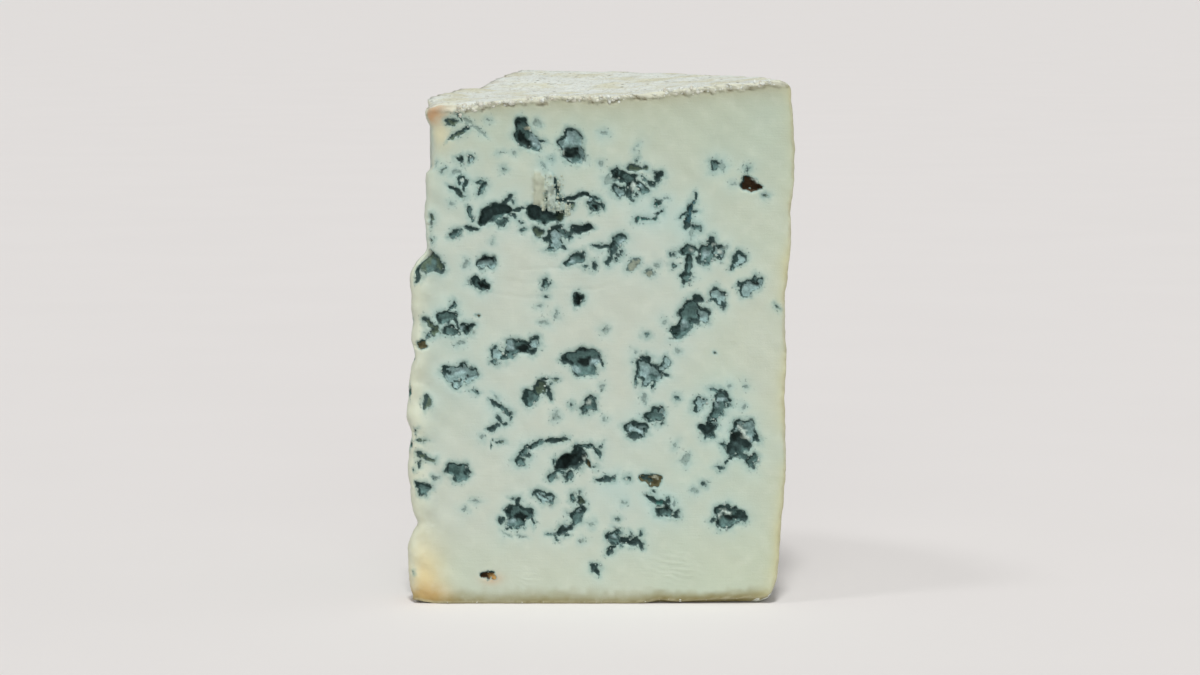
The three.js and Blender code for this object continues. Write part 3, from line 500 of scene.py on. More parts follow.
# what lies inside the larger pockets: crumbs of paste, blue fluff, partly painted light on the lit walls,
# and black, painted shade in the deepest holes over dark mould; in the same way, but with how much deeper the floor is
# there
touchTones = {
    "blackMouldAndShade": "#22312E",
    "grey": "#526E6A",
    "blue": "#99B4B3",
    "chip": "#B3C2B8",
    "cream": "#B4B8A2",
    "rust": "#9F7E4B",
}
frontTouches = [
    (34.0, 133.2, 2.9, 1.1, -60, 1.5, "blackMouldAndShade"), (32.3, 137.8, 1.3, 0.9, 20, 1.0, "blackMouldAndShade"),
    (35.7, 136.9, 1.4, 0.6, -12, -1.6, "cream"), (37.2, 133.0, 2.7, 1.2, -68, -0.8, "blue"),
    (48.2, 129.2, 2.3, 1.7, -25, 1.6, "blackMouldAndShade"), (49.2, 127.7, 1.3, 0.8, 20, 0.0, "grey"),
    (47.9, 134.0, 1.8, 1.4, -60, -0.4, "blue"), (45.6, 129.8, 0.6, 0.8, 0, -1.2, "chip"),
    (27.3, 110.8, 2.2, 1.1, 20, -0.8, "grey"), (40.3, 110.4, 3.0, 0.9, -5, -0.8, "grey"),
    (43.0, 105.4, 2.2, 1.1, 85, 0.0, "blue"), (7.6, 96.8, 2.0, 1.4, 60, -0.4, "grey"),
    (6.2, 100.2, 1.4, 0.8, 20, 0.5, "blackMouldAndShade"), (23.5, 99.2, 2.6, 0.7, 8, 1.2, "blackMouldAndShade"),
    (22.3, 91.6, 2.0, 0.75, -28, 1.5, "blackMouldAndShade"), (17.9, 78.8, 0.8, 0.9, 0, 1.0, "blackMouldAndShade"),
    (16.2, 79.0, 0.7, 0.8, 0, -0.4, "blue"), (30.1, 73.9, 1.3, 1.8, -20, -0.5, "blue"),
    (33.7, 73.0, 1.4, 1.4, 0, 0.6, "blackMouldAndShade"), (15.4, 66.8, 1.8, 1.0, 0, -0.3, "blue"),
    (17.3, 65.0, 1.4, 0.4, 60, 0.4, "blackMouldAndShade"), (51.7, 69.2, 1.6, 1.2, 0, 1.2, "blackMouldAndShade"),
    (49.2, 67.2, 1.8, 0.9, -30, -0.6, "blue"), (51.4, 72.7, 2.6, 0.8, 5, 0.8, "blackMouldAndShade"),
    (55.0, 69.0, 1.0, 1.6, -70, -0.8, "blue"), (52.9, 57.2, 0.7, 0.6, 0, -0.6, "chip"),
    (50.4, 87.4, 1.5, 0.8, 80, 1.5, "blackMouldAndShade"), (62.3, 103.3, 1.3, 0.7, 50, -0.5, "blue"),
    (86.4, 100.3, 1.3, 1.0, 60, -0.5, "blue"), (89.2, 102.9, 0.9, 0.5, 30, -0.5, "chip"),
    (82.4, 101.6, 0.5, 0.4, 0, -1.0, "chip"), (80.5, 79.8, 1.5, 1.0, 65, -0.6, "blue"),
    (82.3, 85.3, 1.4, 0.8, 60, -0.5, "grey"), (100.9, 91.9, 2.0, 0.35, -15, 0.8, "blackMouldAndShade"),
    (91.6, 89.2, 1.2, 0.4, -45, 0.6, "blackMouldAndShade"), (69.6, 65.6, 1.5, 1.2, 0, -0.3, "blue"),
    (71.2, 64.8, 0.9, 1.4, 60, 0.6, "grey"), (91.6, 58.3, 1.4, 0.7, 10, -0.6, "blue"),
    (90.2, 56.9, 0.9, 0.8, 0, -0.5, "blue"), (97.6, 48.9, 2.0, 1.0, -40, -1.6, "chip"),
    (98.6, 47.1, 1.5, 0.8, -30, -1.6, "chip"), (97.7, 43.1, 1.5, 1.1, 30, -0.8, "grey"),
    (95.4, 47.2, 1.3, 1.3, 0, 0.6, "blackMouldAndShade"), (66.4, 49.5, 2.3, 0.7, -6, -0.8, "blue"),
    (14.0, 37.2, 1.5, 1.2, 0, 0.2, "grey"), (46.8, 40.2, 2.4, 1.5, 20, 1.0, "blackMouldAndShade"),
    (51.2, 42.4, 0.8, 0.5, 40, -1.2, "blue"), (52.1, 41.4, 0.5, 0.9, -40, -2.4, "chip"),
    (39.9, 30.0, 2.2, 0.35, -20, 0.3, "blackMouldAndShade"), (32.9, 23.6, 1.9, 1.2, 20, 1.2, "blackMouldAndShade"),
    (30.0, 22.6, 1.2, 0.7, -10, -0.6, "blue"), (50.1, 25.9, 1.0, 0.45, 10, -0.6, "blue"),
    (46.1, 21.7, 0.7, 0.5, 0, -1.2, "blue"), (60.0, 18.4, 1.0, 0.4, -5, -1.0, "blue"),
    (72.6, 35.3, 1.1, 0.35, -20, -1.2, "cream"), (70.6, 34.3, 0.9, 0.5, -10, 0.8, "grey"), (75.7, 26.6, 1.2, 0.6, 30, 0.8, "blackMouldAndShade"),
    (73.8, 26.9, 1.4, 0.4, 15, -1.4, "chip"), (93.0, 25.4, 1.6, 0.55, -5, -1.4, "chip"),
    (91.4, 23.9, 1.0, 0.5, 55, -1.6, "chip"), (94.2, 23.9, 1.8, 0.8, 0, 0.6, "blackMouldAndShade"),
    (102.0, 122.5, 1.8, 1.2, -8, -5.4, "chip"), (25.2, 6.2, 1.3, 0.8, -25, -0.8, "rust"),
    (65.9, 119.7, 0.6, 1.3, 0, -2.2, "chip"), (68.2, 119.6, 0.9, 0.5, -45, -0.8, "blue"),
    (54.5, 114.2, 1.0, 0.8, 0, 0.8, "blackMouldAndShade"), (53.4, 116.0, 0.9, 0.4, 20, -0.8, "blue"),
    (60.9, 123.4, 1.0, 1.3, 0, 0.6, "blackMouldAndShade"), (16.6, 121.9, 0.7, 0.6, 0, -0.6, "chip"),
    (90.4, 101.3, 0.8, 0.7, 0, -0.5, "chip"), (48.3, 98.6, 1.1, 0.5, 25, -0.3, "blue"),
]
backFace = {"pockets": 29, "start": 9, "length": 94, "foot": 8, "rise": 128, "small": 130}


def fraction(x):
    return x % 1.0


def backPockets():
    # steps of irrational length spread the pockets evenly over the hidden face, large ones first
    made = []
    for k in range(backFace["pockets"]):
        halfLength = 1.9 + 3.6 * fraction(k * 0.618 + 0.3) ** 1.5
        made.append((
            backFace["start"] + backFace["length"] * fraction(0.5 + k * 0.7549),
            backFace["foot"] + backFace["rise"] * fraction(0.5 + k * 0.5698),
            halfLength, halfLength * (0.45 + 0.35 * fraction(k * 0.414)), 180 - 360 * fraction(k * 0.382),
            1.6 + 0.5 * halfLength, ["slate", "deep", "slate", "olive", "pale"][k % 5]))
    for k in range(backFace["small"]):
        halfLength = 0.5 + 2.3 * fraction(k * 0.618 + 0.1) ** 1.8
        made.append((
            -3 + (backFace["start"] + backFace["length"]) * fraction(0.21 + k * 0.7549),
            backFace["foot"] + backFace["rise"] * fraction(0.17 + k * 0.5698),
            halfLength, halfLength * (0.3 + 0.5 * fraction(k * 0.414)), 360 * fraction(k * 0.382),
            0.5 + 0.7 * halfLength, ["slate", "slate", "pale", "teal", "deep", "faint"][k % 6]))
    return made


def backTouches():
    # each large pocket of the hidden face has a painted lit side, pale blue and raised, and a painted shaded side,
    # black and sunk, turned about
    made = []
    for k, (middle, level, halfLength, halfWidth, turn, _, _) in enumerate(backPockets()[:backFace["pockets"]]):
        angle = 2.4 * k
        for side, sink, tone in [(1, -0.6, "blue"), (-1, 0.9, "blackMouldAndShade")]:
            made.append((
                middle + side * 0.42 * halfWidth * math.cos(angle), level + side * 0.42 * halfWidth * math.sin(angle),
                0.38 * halfLength, 0.42 * halfWidth, turn, sink, tone))
    return made


def ellipseEdge(along, up, shape, order, lumps):
    # The distance to the edge of an ellipse, below 0 inside it, close to true beside the edge: how far
    # the point is from the middle, times 1 less 1 over its share of the ellipse's reach that way.
    # Three and five lumps go round it.
    middle, level, halfLength, halfWidth, turn = shape
    c, s = math.cos(math.radians(turn)), math.sin(math.radians(turn))
    p = (along - middle) * c + (up - level) * s
    q = (up - level) * c - (along - middle) * s
    around = np.arctan2(q, p)
    lump = 1 + lumps * (0.14 * np.sin(3 * around + 2.4 * order) + 0.1 * np.sin(5 * around + 1.7 * order))
    ratio = np.hypot(p / halfLength, q / halfWidth) / lump + 1e-6
    return np.hypot(p, q) * (1 - 1 / ratio)


def mouldField(along, up, pockets, touches, seed):
    # For every point of a face: the distance to the nearest pocket's edge, below 0 inside it, the
    # depth of the hollow, how far the point is past the dark rim, and the mould's colour and cover.
    # Later pockets lie over earlier ones, and noise bends them all.
    flat = np.stack([along, up, 0 * up], 1)
    bentAlong = along + 0.75 * roughNoise(flat, 2.4, 2, seed) + 0.35 * softNoise(flat, 0.9, seed + 3)
    bentUp = up + 0.75 * roughNoise(flat, 2.4, 2, seed + 5) + 0.35 * softNoise(flat, 0.9, seed + 8)
    floor = 0.8 + 0.45 * roughNoise(flat, 1.9, 2, seed + 11)
    uneven = np.clip(0.75 + 0.95 * roughNoise(flat, 2.6, 2, seed + 15), 0.12, 1.5)
    gap = np.full(len(along), 9.0)
    hollow = np.zeros(len(along))
    core = np.zeros(len(along))
    cover = np.tile([*linear(mouldKinds["faint"][0]), 1.0], (len(along), 1))
    for k, (middle, level, halfLength, halfWidth, turn, depth, kind) in enumerate(pockets):
        reach = halfLength * 1.3 + 8
        near = np.nonzero((abs(along - middle) < reach) & (abs(up - level) < reach))[0]
        shape = (middle, level, halfLength, halfWidth, turn)
        edge = ellipseEdge(bentAlong[near], bentUp[near], shape, k, 1.0)
        if kind in unstained:
            # the skewer's holes and the brown bits have no blue stain round them
            edge = np.where(edge > 0, 4 * edge, edge)
        wall = 1 - np.exp(-(np.clip(-edge, 0, None) / 0.5) ** 1.4)
        hollow[near] = np.maximum(hollow[near], depth * wall * floor[near])
        colour, strength = mouldKinds[kind]
        cover[near[edge < gap[near]], 3] = strength
        gap[near] = np.minimum(gap[near], edge)
        # the rim is of uneven width, and painted wider on its upper left as shade: the inner edge is shifted to the
        # lower right
        inside = near[edge < 0]
        inner = ellipseEdge(bentAlong[inside] - 0.34, bentUp[inside] + 0.34, shape, k, 1.0)
        rimWidth = min(0.95, 0.55 * halfWidth) * uneven[inside] if kind not in rimless else 0.1
        core[inside] = smooth(-inner / rimWidth, 0.35, 1.15)
        cover[inside, :3] = linear(colour)
    # painted light and shade: black touches darken the deepest holes as shade over dark mould, blue ones lighten the
    # lit walls
    for k, (middle, level, halfLength, halfWidth, turn, sink, tone) in enumerate(touches):
        near = np.nonzero((abs(along - middle) < halfLength + 3) & (abs(up - level) < halfLength + 3))[0]
        shape = (middle, level, halfLength, halfWidth, turn)
        edge = ellipseEdge(bentAlong[near], bentUp[near], shape, k, 1.3)
        amount = (1 - smooth(edge, -0.35, 0.35)) * (gap[near] < 0.2)
        cover[near, :3] = mix(cover[near, :3], np.array(linear(touchTones[tone])), amount)
        core[near] = np.maximum(core[near], amount)
        hollow[near] = np.clip(hollow[near] + sink * amount, 0, None)
    return gap, hollow, core, cover


def joinFields():
    # the front face's pockets on the front, the others on the back face and round the tip
    gap = np.full(len(points), 9.0)
    hollow = np.zeros(len(points))
    core = np.zeros(len(points))
    cover = np.tile([*linear(mouldKinds["faint"][0]), 1.0], (len(points), 1))
    for share, along, up, pockets, touches, seed in [
            (1.0 * (spots["back"] > -50), spots["back"], height, backPockets(), backTouches(), 60),
            (front, faceAlong, faceUp, frontPockets, frontTouches, 20)]:
        at = np.nonzero(share > 0.02)[0]
        fade = share[at]
        nearGap, nearHollow, nearCore, nearCover = mouldField(along[at], up[at], pockets, touches, seed)
        nearGap = nearGap + 9 * (1 - fade)
        closer = nearGap < gap[at]
        cover[at[closer]] = nearCover[closer]
        core[at[closer]] = nearCore[closer]
        gap[at] = np.minimum(gap[at], nearGap)
        hollow[at] = np.maximum(hollow[at], nearHollow * fade)
    return gap, hollow, core, cover


veinGap, hollow, mouldCore, mouldCover = joinFields()
# pockets stop short of the rind
crust = np.minimum(topHeight(planRadius) * (1 - share), np.clip(sideRadius(height) - planRadius, 0, None))
hollow = hollow * smooth(crust, 0.8, 2.2) * onCut

print("cheese: relief")

relief = {
    "cut": 0.22,            # slow waves of the cut faces
    "tip": 0.7,             # and of the broken tip
    "grain": 0.07,          # fine unevenness of the paste
    "crumble": 0.55,        # crumbs of the broken tip
    "rind": 0.4,            # slow waves of the rind
    "crust": 0.45,          # its bumps
    "lipDepth": 1.35,       # how far the rind's ragged edge hangs over the cut faces
    "lipOut": 0.75,
}
# grooves of the wire on the front face: height, and where they start and end
wireLines = [(93.2, 27, 42), (88.9, 23, 42), (91.0, 43, 61), (97.0, 31, 49)]
# smears: distance from the tip, height, reach each way
smears = [(78, 9, 7, 3.8), (35, 5.8, 2.2, 2.0)]
# a torn flake on the front face: distance from the tip, height, half width, half height, how far out
flakeStrips = [(38.7, 119.2, 1.9, 5.7, 1.15), (42.0, 118.6, 1.25, 6.3, 1.4), (44.2, 113.9, 0.8, 1.6, 0.9)]


def waves(p, size):
    # two sine products crossing each other, about -1 to 1
    x, y, z = p.T / size
    slow = np.sin(x + 1.3) * np.sin(z + 0.4) * np.cos(y)
    quick = np.sin(1.9 * x + 2.1 + 0.8 * z) * np.cos(1.7 * z + y)
    return 0.6 * slow + 0.4 * quick


nearTip = 1 - smooth(planRadius, 5, 17)
brokenTip = 1 - smooth(planRadius, 3, 13)
paste = (relief["cut"] + (relief["tip"] - relief["cut"]) * nearTip) * waves(points + [7, 0, 0], 3.1)
paste = paste + relief["grain"] * roughNoise(points, 2.6, 3, 31)
paste = paste + relief["crumble"] * brokenTip * roughNoise(points, 3.4, 4, 35)
# the paste sinks softly round each pocket, and its torn rim stands up a little
paste = paste + 0.22 * bell(veinGap, 0.5, 0.4) * softNoise(points, 1.3, 41) - 0.1 * np.exp(-np.abs(veinGap) / 0.8)

onFine = spots["back"] > -250
alongEdge = np.where(front > 0.5, points[:, 0], spots["back"])
fromTop = topHeight(planRadius) * (1 - share)
fromSide = np.clip(sideRadius(height) - planRadius, 0, None)
# the rind's edge hangs over the cut in tufts of uneven width, with a shallow groove under some that the paste colour
# paints dark as shade
tufts = 0.5 * lineNoise(alongEdge, 2.3, 43) + 0.6 * lineNoise(alongEdge, 1.1, 44)
lipDepth = relief["lipDepth"] * (1 + 0.75 * tufts + 0.35 * lineNoise(alongEdge, 9.0, 45))
topLip = smooth(lipDepth - fromTop, -0.3, 0.3) * onCut
lipGrooveAndShade = bell(fromTop, lipDepth + 0.3, 0.45) * smooth(lineNoise(alongEdge, 1.0, 46), 0.0, 0.5) * onCut
lipOut = relief["lipOut"] * smooth(planRadius, 5, 12)
sideLip = smooth(0.65 + 0.45 * roughNoise(points, 2.2, 2, 46) - fromSide, -0.25, 0.25) * onCut
footLip = smooth(0.6 + 0.7 * roughNoise(points, 1.8, 2, 47) - height, -0.2, 0.2) * onCut
paste = paste + lipOut * topLip * (0.55 + 0.8 * softNoise(points, 1.1, 48)) - 0.5 * lipGrooveAndShade
paste = paste - 0.5 * np.exp(-height / 0.6) + 0.25 * footLip * softNoise(points, 0.9, 50)
paste = paste + 0.2 * sideLip * (1 + softNoise(points, 1.2, 49))

# grooves that the wire left, and ridges where the paste smeared
for level, start, end in wireLines:
    sag = faceUp - level - 1.1 * lineNoise(faceAlong, 9, 81)
    paste = paste - 0.13 * bell(sag, 0, 0.45) * smooth(faceAlong, start, start + 4) * (1 - smooth(faceAlong, end - 4, end))
for middle, level, reachAlong, reachUp in smears:
    window = bell(faceAlong, middle, reachAlong) * bell(faceUp, level, reachUp)
    paste = paste + 0.15 * window * np.sin(4.2 * faceUp + 0.9 * faceAlong + 4.5 * softNoise(points, 2.4, 82))

flake = 0 * height
for k, (middle, level, halfWidth, halfHeight, out) in enumerate(flakeStrips):
    # torn and ragged at the foot, thinning into the face at the top
    wobble = 0.45 * lineNoise(height, 1.5, 50 + k) + 0.35 * lineNoise(height, 0.8, 57 + k)
    wide = 1 - smooth(np.abs(faceAlong - middle - wobble) / halfWidth, 0.65, 1.05)
    ends = 1.3 * lineNoise(points[:, 0], 0.9, 55 + k)
    above = (faceUp - level + ends) / halfHeight
    flake = np.maximum(flake, out * wide * smooth(above, -1, -0.85) * (1 - smooth(above, 0.35, 1)) * front)
flakeShare = smooth(flake, 0.12, 0.5)
flake = flake * (1 + 0.9 * softNoise(points * [1, 1, 0.5], 0.9, 58)) + 0.3 * flakeShare * roughNoise(points, 1.2, 2, 59)
paste = (paste + flake) * onCut - hollow * (1 - flakeShare)

rind = relief["rind"] * waves(points, 5.5) + relief["crust"] * roughNoise(points, 3.4, 3, 53)
onTop = np.where(onFine, smooth(share, 0.93, 1), share)
moved = points + outward * paste[:, None]
radial = points[:, :2] / np.clip(planRadius, 1, None)[:, None]
moved[:, :2] += radial * (rind * rim * smooth(height, 3, 9))[:, None]
moved[:, 2] += rind * onTop * smooth(height, 100, 140)
# the base's front edge is bevelled towards the rind, with one shallow arch, and rises at the tip
lift = 1.6 * smooth(points[:, 0], 60, 104) + 0.8 * bell(points[:, 0], 73.5, 2.6)
lift = lift * (1 - smooth(points[:, 1], 0.4, 2.8)) + 0.9 * (1 - smooth(planRadius, 2, 9))
moved[:, 2] += lift * (1 - smooth(height, 0, 6))
# and the top is rounded off at the tip
moved[:, 2] -= 1.3 * (1 - smooth(planRadius, 5, 11)) * smooth(height, 136, 143)

low, high = moved.min(0), moved.max(0)
boxLow, boxHigh = np.array(cadBox[0]) / mm, np.array(cadBox[1]) / mm
shift = np.array([*((boxLow + boxHigh) / 2 - (low + high) / 2)[:2], boxLow[2] - low[2]])
print("cheese: size in mm", (high - low).round(2), "of the solid", (boxHigh - boxLow).round(2))

print("cheese: colours")

pasteColours = {
    "core": "#BFC7BA",
    "cool": "#AECAC5",
    "warm": "#BEC7B2",
    # painted shade: the face darker towards the top, under the rind's lip
    "upperShade": "#B6C1AE",
    "underRind": "#A59E7E",
    "side": "#C5C297",
    "foot": "#877D4C",
    "tip": "#CDD1BC",
    "corner": "#D9CB9D",
    "cornerFoot": "#C0A066",
    "knob": "#BD976F",
    # painted shade of the grooves under the rind's lip
    "notch": "#8A8164",
    "lip": "#D4D6C3",
    "sideLip": "#AAA78C",
    "footLip": "#B3AE90",
    "flake": "#B0B6A1",
    "flakeRight": "#AFBEB2",
    "rust": "#C4A27E",
}
# blue stains round the thickest mould: distance from the tip, height, reach, strength
coldStains = [
    (16, 121, 6, 0.8), (29, 112, 8, 0.6), (42, 126, 5, 0.9), (44, 106, 6, 0.7), (57, 134, 3, 0.5),
    (61, 119, 6, 0.6), (71, 112, 7, 1.0), (82, 110, 6, 0.8), (90, 126, 3, 0.5), (60, 101, 6, 0.7),
    (85, 100, 7, 0.5), (22, 95, 5, 0.5), (12, 80, 6, 0.6), (16, 64, 7, 0.5), (27, 55, 6, 0.6),
    (80, 80, 8, 0.4), (72, 67, 6, 0.6), (68, 52, 6, 0.6), (90, 56, 7, 0.7), (95, 47, 6, 0.6),
    (34, 42, 6, 0.6), (60, 32, 6, 0.9), (73, 28, 6, 0.9), (32, 25, 6, 0.5), (93, 26, 5, 0.3),
]


def onFrontNear(middle, level, reachAlong, reachUp):
    return np.exp(-((faceAlong - middle) / reachAlong) ** 2 - ((faceUp - level) / reachUp) ** 2) * front


def pasteColour():
    # the paste is cool round the mould, yellower under the rind and at the foot, pale at the broken tip, and stained
    # orange in two corners;
    # painted shade darkens it towards the top and in the grooves under the rind's lip
    tone = {name: np.array(linear(value)) for name, value in pasteColours.items()}
    slow = roughNoise(points, 26, 3, 70)
    colour = np.tile(tone["core"], (len(points), 1))
    warm = 0.5 * smooth(planRadius, 62, 105) + 0.5 * (1 - smooth(height, 4, 34))
    colour = mix(colour, tone["warm"], np.clip(warm + 0.4 * slow, 0, 1))
    # painted shade towards the top, under the rind's lip
    colour = mix(colour, tone["upperShade"], np.clip(0.95 * smooth(height, 96, 144) + 0.3 * slow, 0, 1))
    stain = sum(s * onFrontNear(x, z, r, r) for x, z, r, s in coldStains)
    stain = stain + 0.6 * (1 - front) * np.exp(-np.clip(veinGap, 0, None) / 4)
    cool = 0.5 * np.exp(-np.clip(veinGap, 0, None) / 2.2) + 0.4 * stain + 0.2 * slow
    colour = mix(colour, tone["cool"], np.clip(cool, 0, 1))
    colour = mix(colour, tone["tip"], 0.85 * (1 - smooth(planRadius, 2, 9)))
    cornerReach = np.where(planRadius < 5, 3.0, 6.0)
    corner = np.exp(-((planRadius - 5) / cornerReach) ** 2 - (np.clip(height - 6, 0, None) / 12) ** 2)
    colour = mix(colour, tone["corner"], np.clip(0.9 * corner * (1 + 0.3 * slow), 0, 1))
    footReach = 5.6 + 1.8 * lineNoise(points[:, 0], 11, 73) + 1.2 * softNoise(points, 1.6, 74)
    foot = 1 - smooth(height / footReach, -0.1, 1)
    colour = mix(colour, tone["foot"], np.clip(0.95 * foot * (1 + 0.4 * slow), 0, 1))
    cornerFoot = np.exp(-((planRadius - 6.5) / 6) ** 2 - ((height - 2.6) / 3.2) ** 2)
    colour = mix(colour, tone["cornerFoot"], 0.75 * cornerFoot)
    colour = mix(colour, tone["underRind"], np.clip(0.85 * np.exp(-fromTop / 3.0) * (1 + 0.6 * slow), 0, 1))
    patchy = 0.75 + 0.9 * roughNoise(points, 9, 2, 71)
    colour = mix(colour, tone["side"], np.clip(0.9 * np.exp(-fromSide / 2.0) * patchy, 0, 1))
    colour = mix(colour, tone["corner"], 0.45 * onFrontNear(10.3, 135.0, 2.8, 4.0))
    colour = mix(colour, tone["rust"], 0.7 * onFrontNear(24.6, 6.0, 3.0, 1.7))
    colour = mix(colour, tone["lip"], topLip)
    colour = mix(colour, tone["sideLip"], 0.65 * sideLip)
    colour = mix(colour, tone["footLip"], 0.6 * footLip)
    knob = onFrontNear(7.9, 141.0, 4.0, 2.9)
    colour = mix(colour, tone["knob"], np.clip(0.95 * knob * (1 + 0.5 * softNoise(points, 1.6, 72)), 0, 0.9))
    # painted shade: the grooves under the rind's lip darkened
    colour = mix(colour, tone["notch"], 0.8 * lipGrooveAndShade)
    torn = mix(np.tile(tone["flake"], (len(points), 1)), tone["flakeRight"], smooth(faceAlong, 40, 41.5))
    colour = colour + (torn - colour) * (0.9 * flakeShare)[:, None]
    return np.hstack([colour, np.ones((len(points), 1))])


def toasted():
    # browned bits of the rind: its corner at the tip, and patches along the back cut
    nearBack = np.exp(-np.abs(points[:, 1] * math.cos(cut["angle"]) - points[:, 0] * math.sin(cut["angle"])) / 2.2)
    patches = smooth(roughNoise(points, 6.5, 3, 74), 0.0, 0.35)
    return np.clip(1.1 * np.exp(-(planRadius / 9.5) ** 4) * (0.75 + 0.6 * softNoise(points, 3, 75))
                   + 0.65 * nearBack * patches, 0, 1)


wedge = makeMesh("cheese", moved + shift, wedgeFaces, {
    "toast": toasted(),
    "veinGap": np.clip(veinGap + 3 * flakeShare, -3, 9),
    "core": mouldCore,
    "mould": mouldCover,
    "paste": pasteColour(),
    "floury": np.clip(np.maximum(topLip, 0.6 * np.maximum(sideLip, footLip)) + flakeShare, 0, 1),
})
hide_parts("cheese_wedge")
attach(wedge, "root")

print("cheese: crumbs and tufts")

lump = {"rings": 3, "sides": 7}     # a lump has this many rings of points between its poles
tuftSet = {"spacing": 0.5, "low": 0.22, "high": 0.7, "knob": 36, "foot": 70, "seed": 21}
crumbSet = {"tries": 1500, "low": 0.16, "high": 0.4, "onFlake": 150, "seed": 22}


def makeLumps(centres, sizes, stretch, seed):
    # Closed lumps: points on rings of latitude and longitude, at a distance from each centre that
    # noise makes uneven, joined into one mesh.
    rings, sides = lump["rings"], lump["sides"]
    latitude = np.linspace(-math.pi / 2, math.pi / 2, rings + 2)[1:-1][:, None]
    longitude = (np.arange(sides) * 2 * math.pi / sides)[None, :]
    x, y = np.cos(latitude) * np.cos(longitude), np.cos(latitude) * np.sin(longitude)
    body = np.stack([x, y, np.sin(latitude) + 0 * longitude], 2).reshape(-1, 3)
    ball = np.vstack([[[0, 0, -1]], body, [[0, 0, 1]]])
    spread = centres[:, None, :] + 0.7 * ball[None] + 3.1 * np.arange(len(centres))[:, None, None]
    uneven = 1 + 0.45 * softNoise(spread.reshape(-1, 3), 0.8, seed).reshape(len(centres), -1, 1)
    cloud = centres[:, None, :] + ball[None] * uneven * sizes[:, None, None] * stretch[:, None, :]
    loops = 1 + np.arange(rings * sides).reshape(rings, sides)
    turned = np.roll(loops, -1, axis=1)
    walls = np.stack([loops[:-1], turned[:-1], turned[1:], loops[1:]], 2).reshape(-1, 4)
    top = rings * sides + 1
    faces = [[0, b, a] for a, b in zip(loops[0], turned[0])] + [[top, a, b] for a, b in zip(loops[-1], turned[-1])]
    each = [*walls.tolist(), *[[int(i) for i in f] for f in faces]]
    allFaces = [[i + (top + 1) * k for i in f] for k in range(len(centres)) for f in each]
    return cloud.reshape(-1, 3), allFaces


def surfaceNear(wantAlong, wantUp):
    # the displaced front face under each wanted place, by the nearest point of its regular grid
    fineColumns = grid["frontColumns"] + 1 + grid["tipColumns"]
    rows = 2 * grid["rows"] + 1
    face = (moved + shift)[:rows * fineColumns].reshape(rows, fineColumns, 3)
    row = np.clip(np.round(wantUp / topHeight(wantAlong) * (rows - 1)), 0, rows - 1).astype(int)
    column = np.clip(np.round((1 - wantAlong / wheel["radius"]) * grid["frontColumns"]), 0, fineColumns - 1).astype(int)
    return row * fineColumns + column, face[row, column]


def makeTufts():
    # whitish tufts of bloom along the rind's cut edge on the front face
    rng = np.random.default_rng(tuftSet["seed"])
    count = int(104 / tuftSet["spacing"])
    along = 3 + np.arange(count) * tuftSet["spacing"] + rng.uniform(-0.5, 0.5, count)
    drop = rng.uniform(-0.2, 1.7, count) * (0.75 + 0.6 * lineNoise(along, 2.3, 43))
    # and browner ones on the corner at the tip
    up = np.append(topHeight(along) - drop, topHeight(7) - rng.uniform(-0.3, 3.4, tuftSet["knob"]))
    along = np.append(along, rng.uniform(4.6, 9.6, tuftSet["knob"]))
    # and a few small ones along the foot
    along = np.append(along, rng.uniform(3, 103, tuftSet["foot"]))
    up = np.append(up, rng.uniform(0.1, 0.7, tuftSet["foot"]))
    _, spot = surfaceNear(along, up)
    count = len(along)
    sizes = rng.uniform(tuftSet["low"], tuftSet["high"], count) * (0.8 + 0.5 * lineNoise(along, 3.0, 61))
    sizes = sizes * np.where(up < 1, 0.4, np.where(along < 9.5, 0.75, 1.0))
    stretch = np.stack([rng.uniform(0.7, 1.4, count), 0.6 + 0 * along, rng.uniform(0.6, 1.2, count)], 1)
    cloud, faces = makeLumps(spot + [0, 0.15, 0], sizes, stretch, 62)
    toast = rng.uniform(-0.5, 0.7, count) + 0.9 * (along < 9.5) * (up > 9) * rng.uniform(0, 1, count)
    toast = np.clip(toast, 0, 1)
    cloud[:, 2] = np.clip(cloud[:, 2], 0.05, None)
    perPoint = len(cloud) // count
    piece = makeMesh("bloom_tufts", cloud, faces, {
        "floury": np.repeat(rng.uniform(0.1, 0.9, count), perPoint), "toast": np.repeat(toast, perPoint)})
    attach(piece, "root")
    return piece


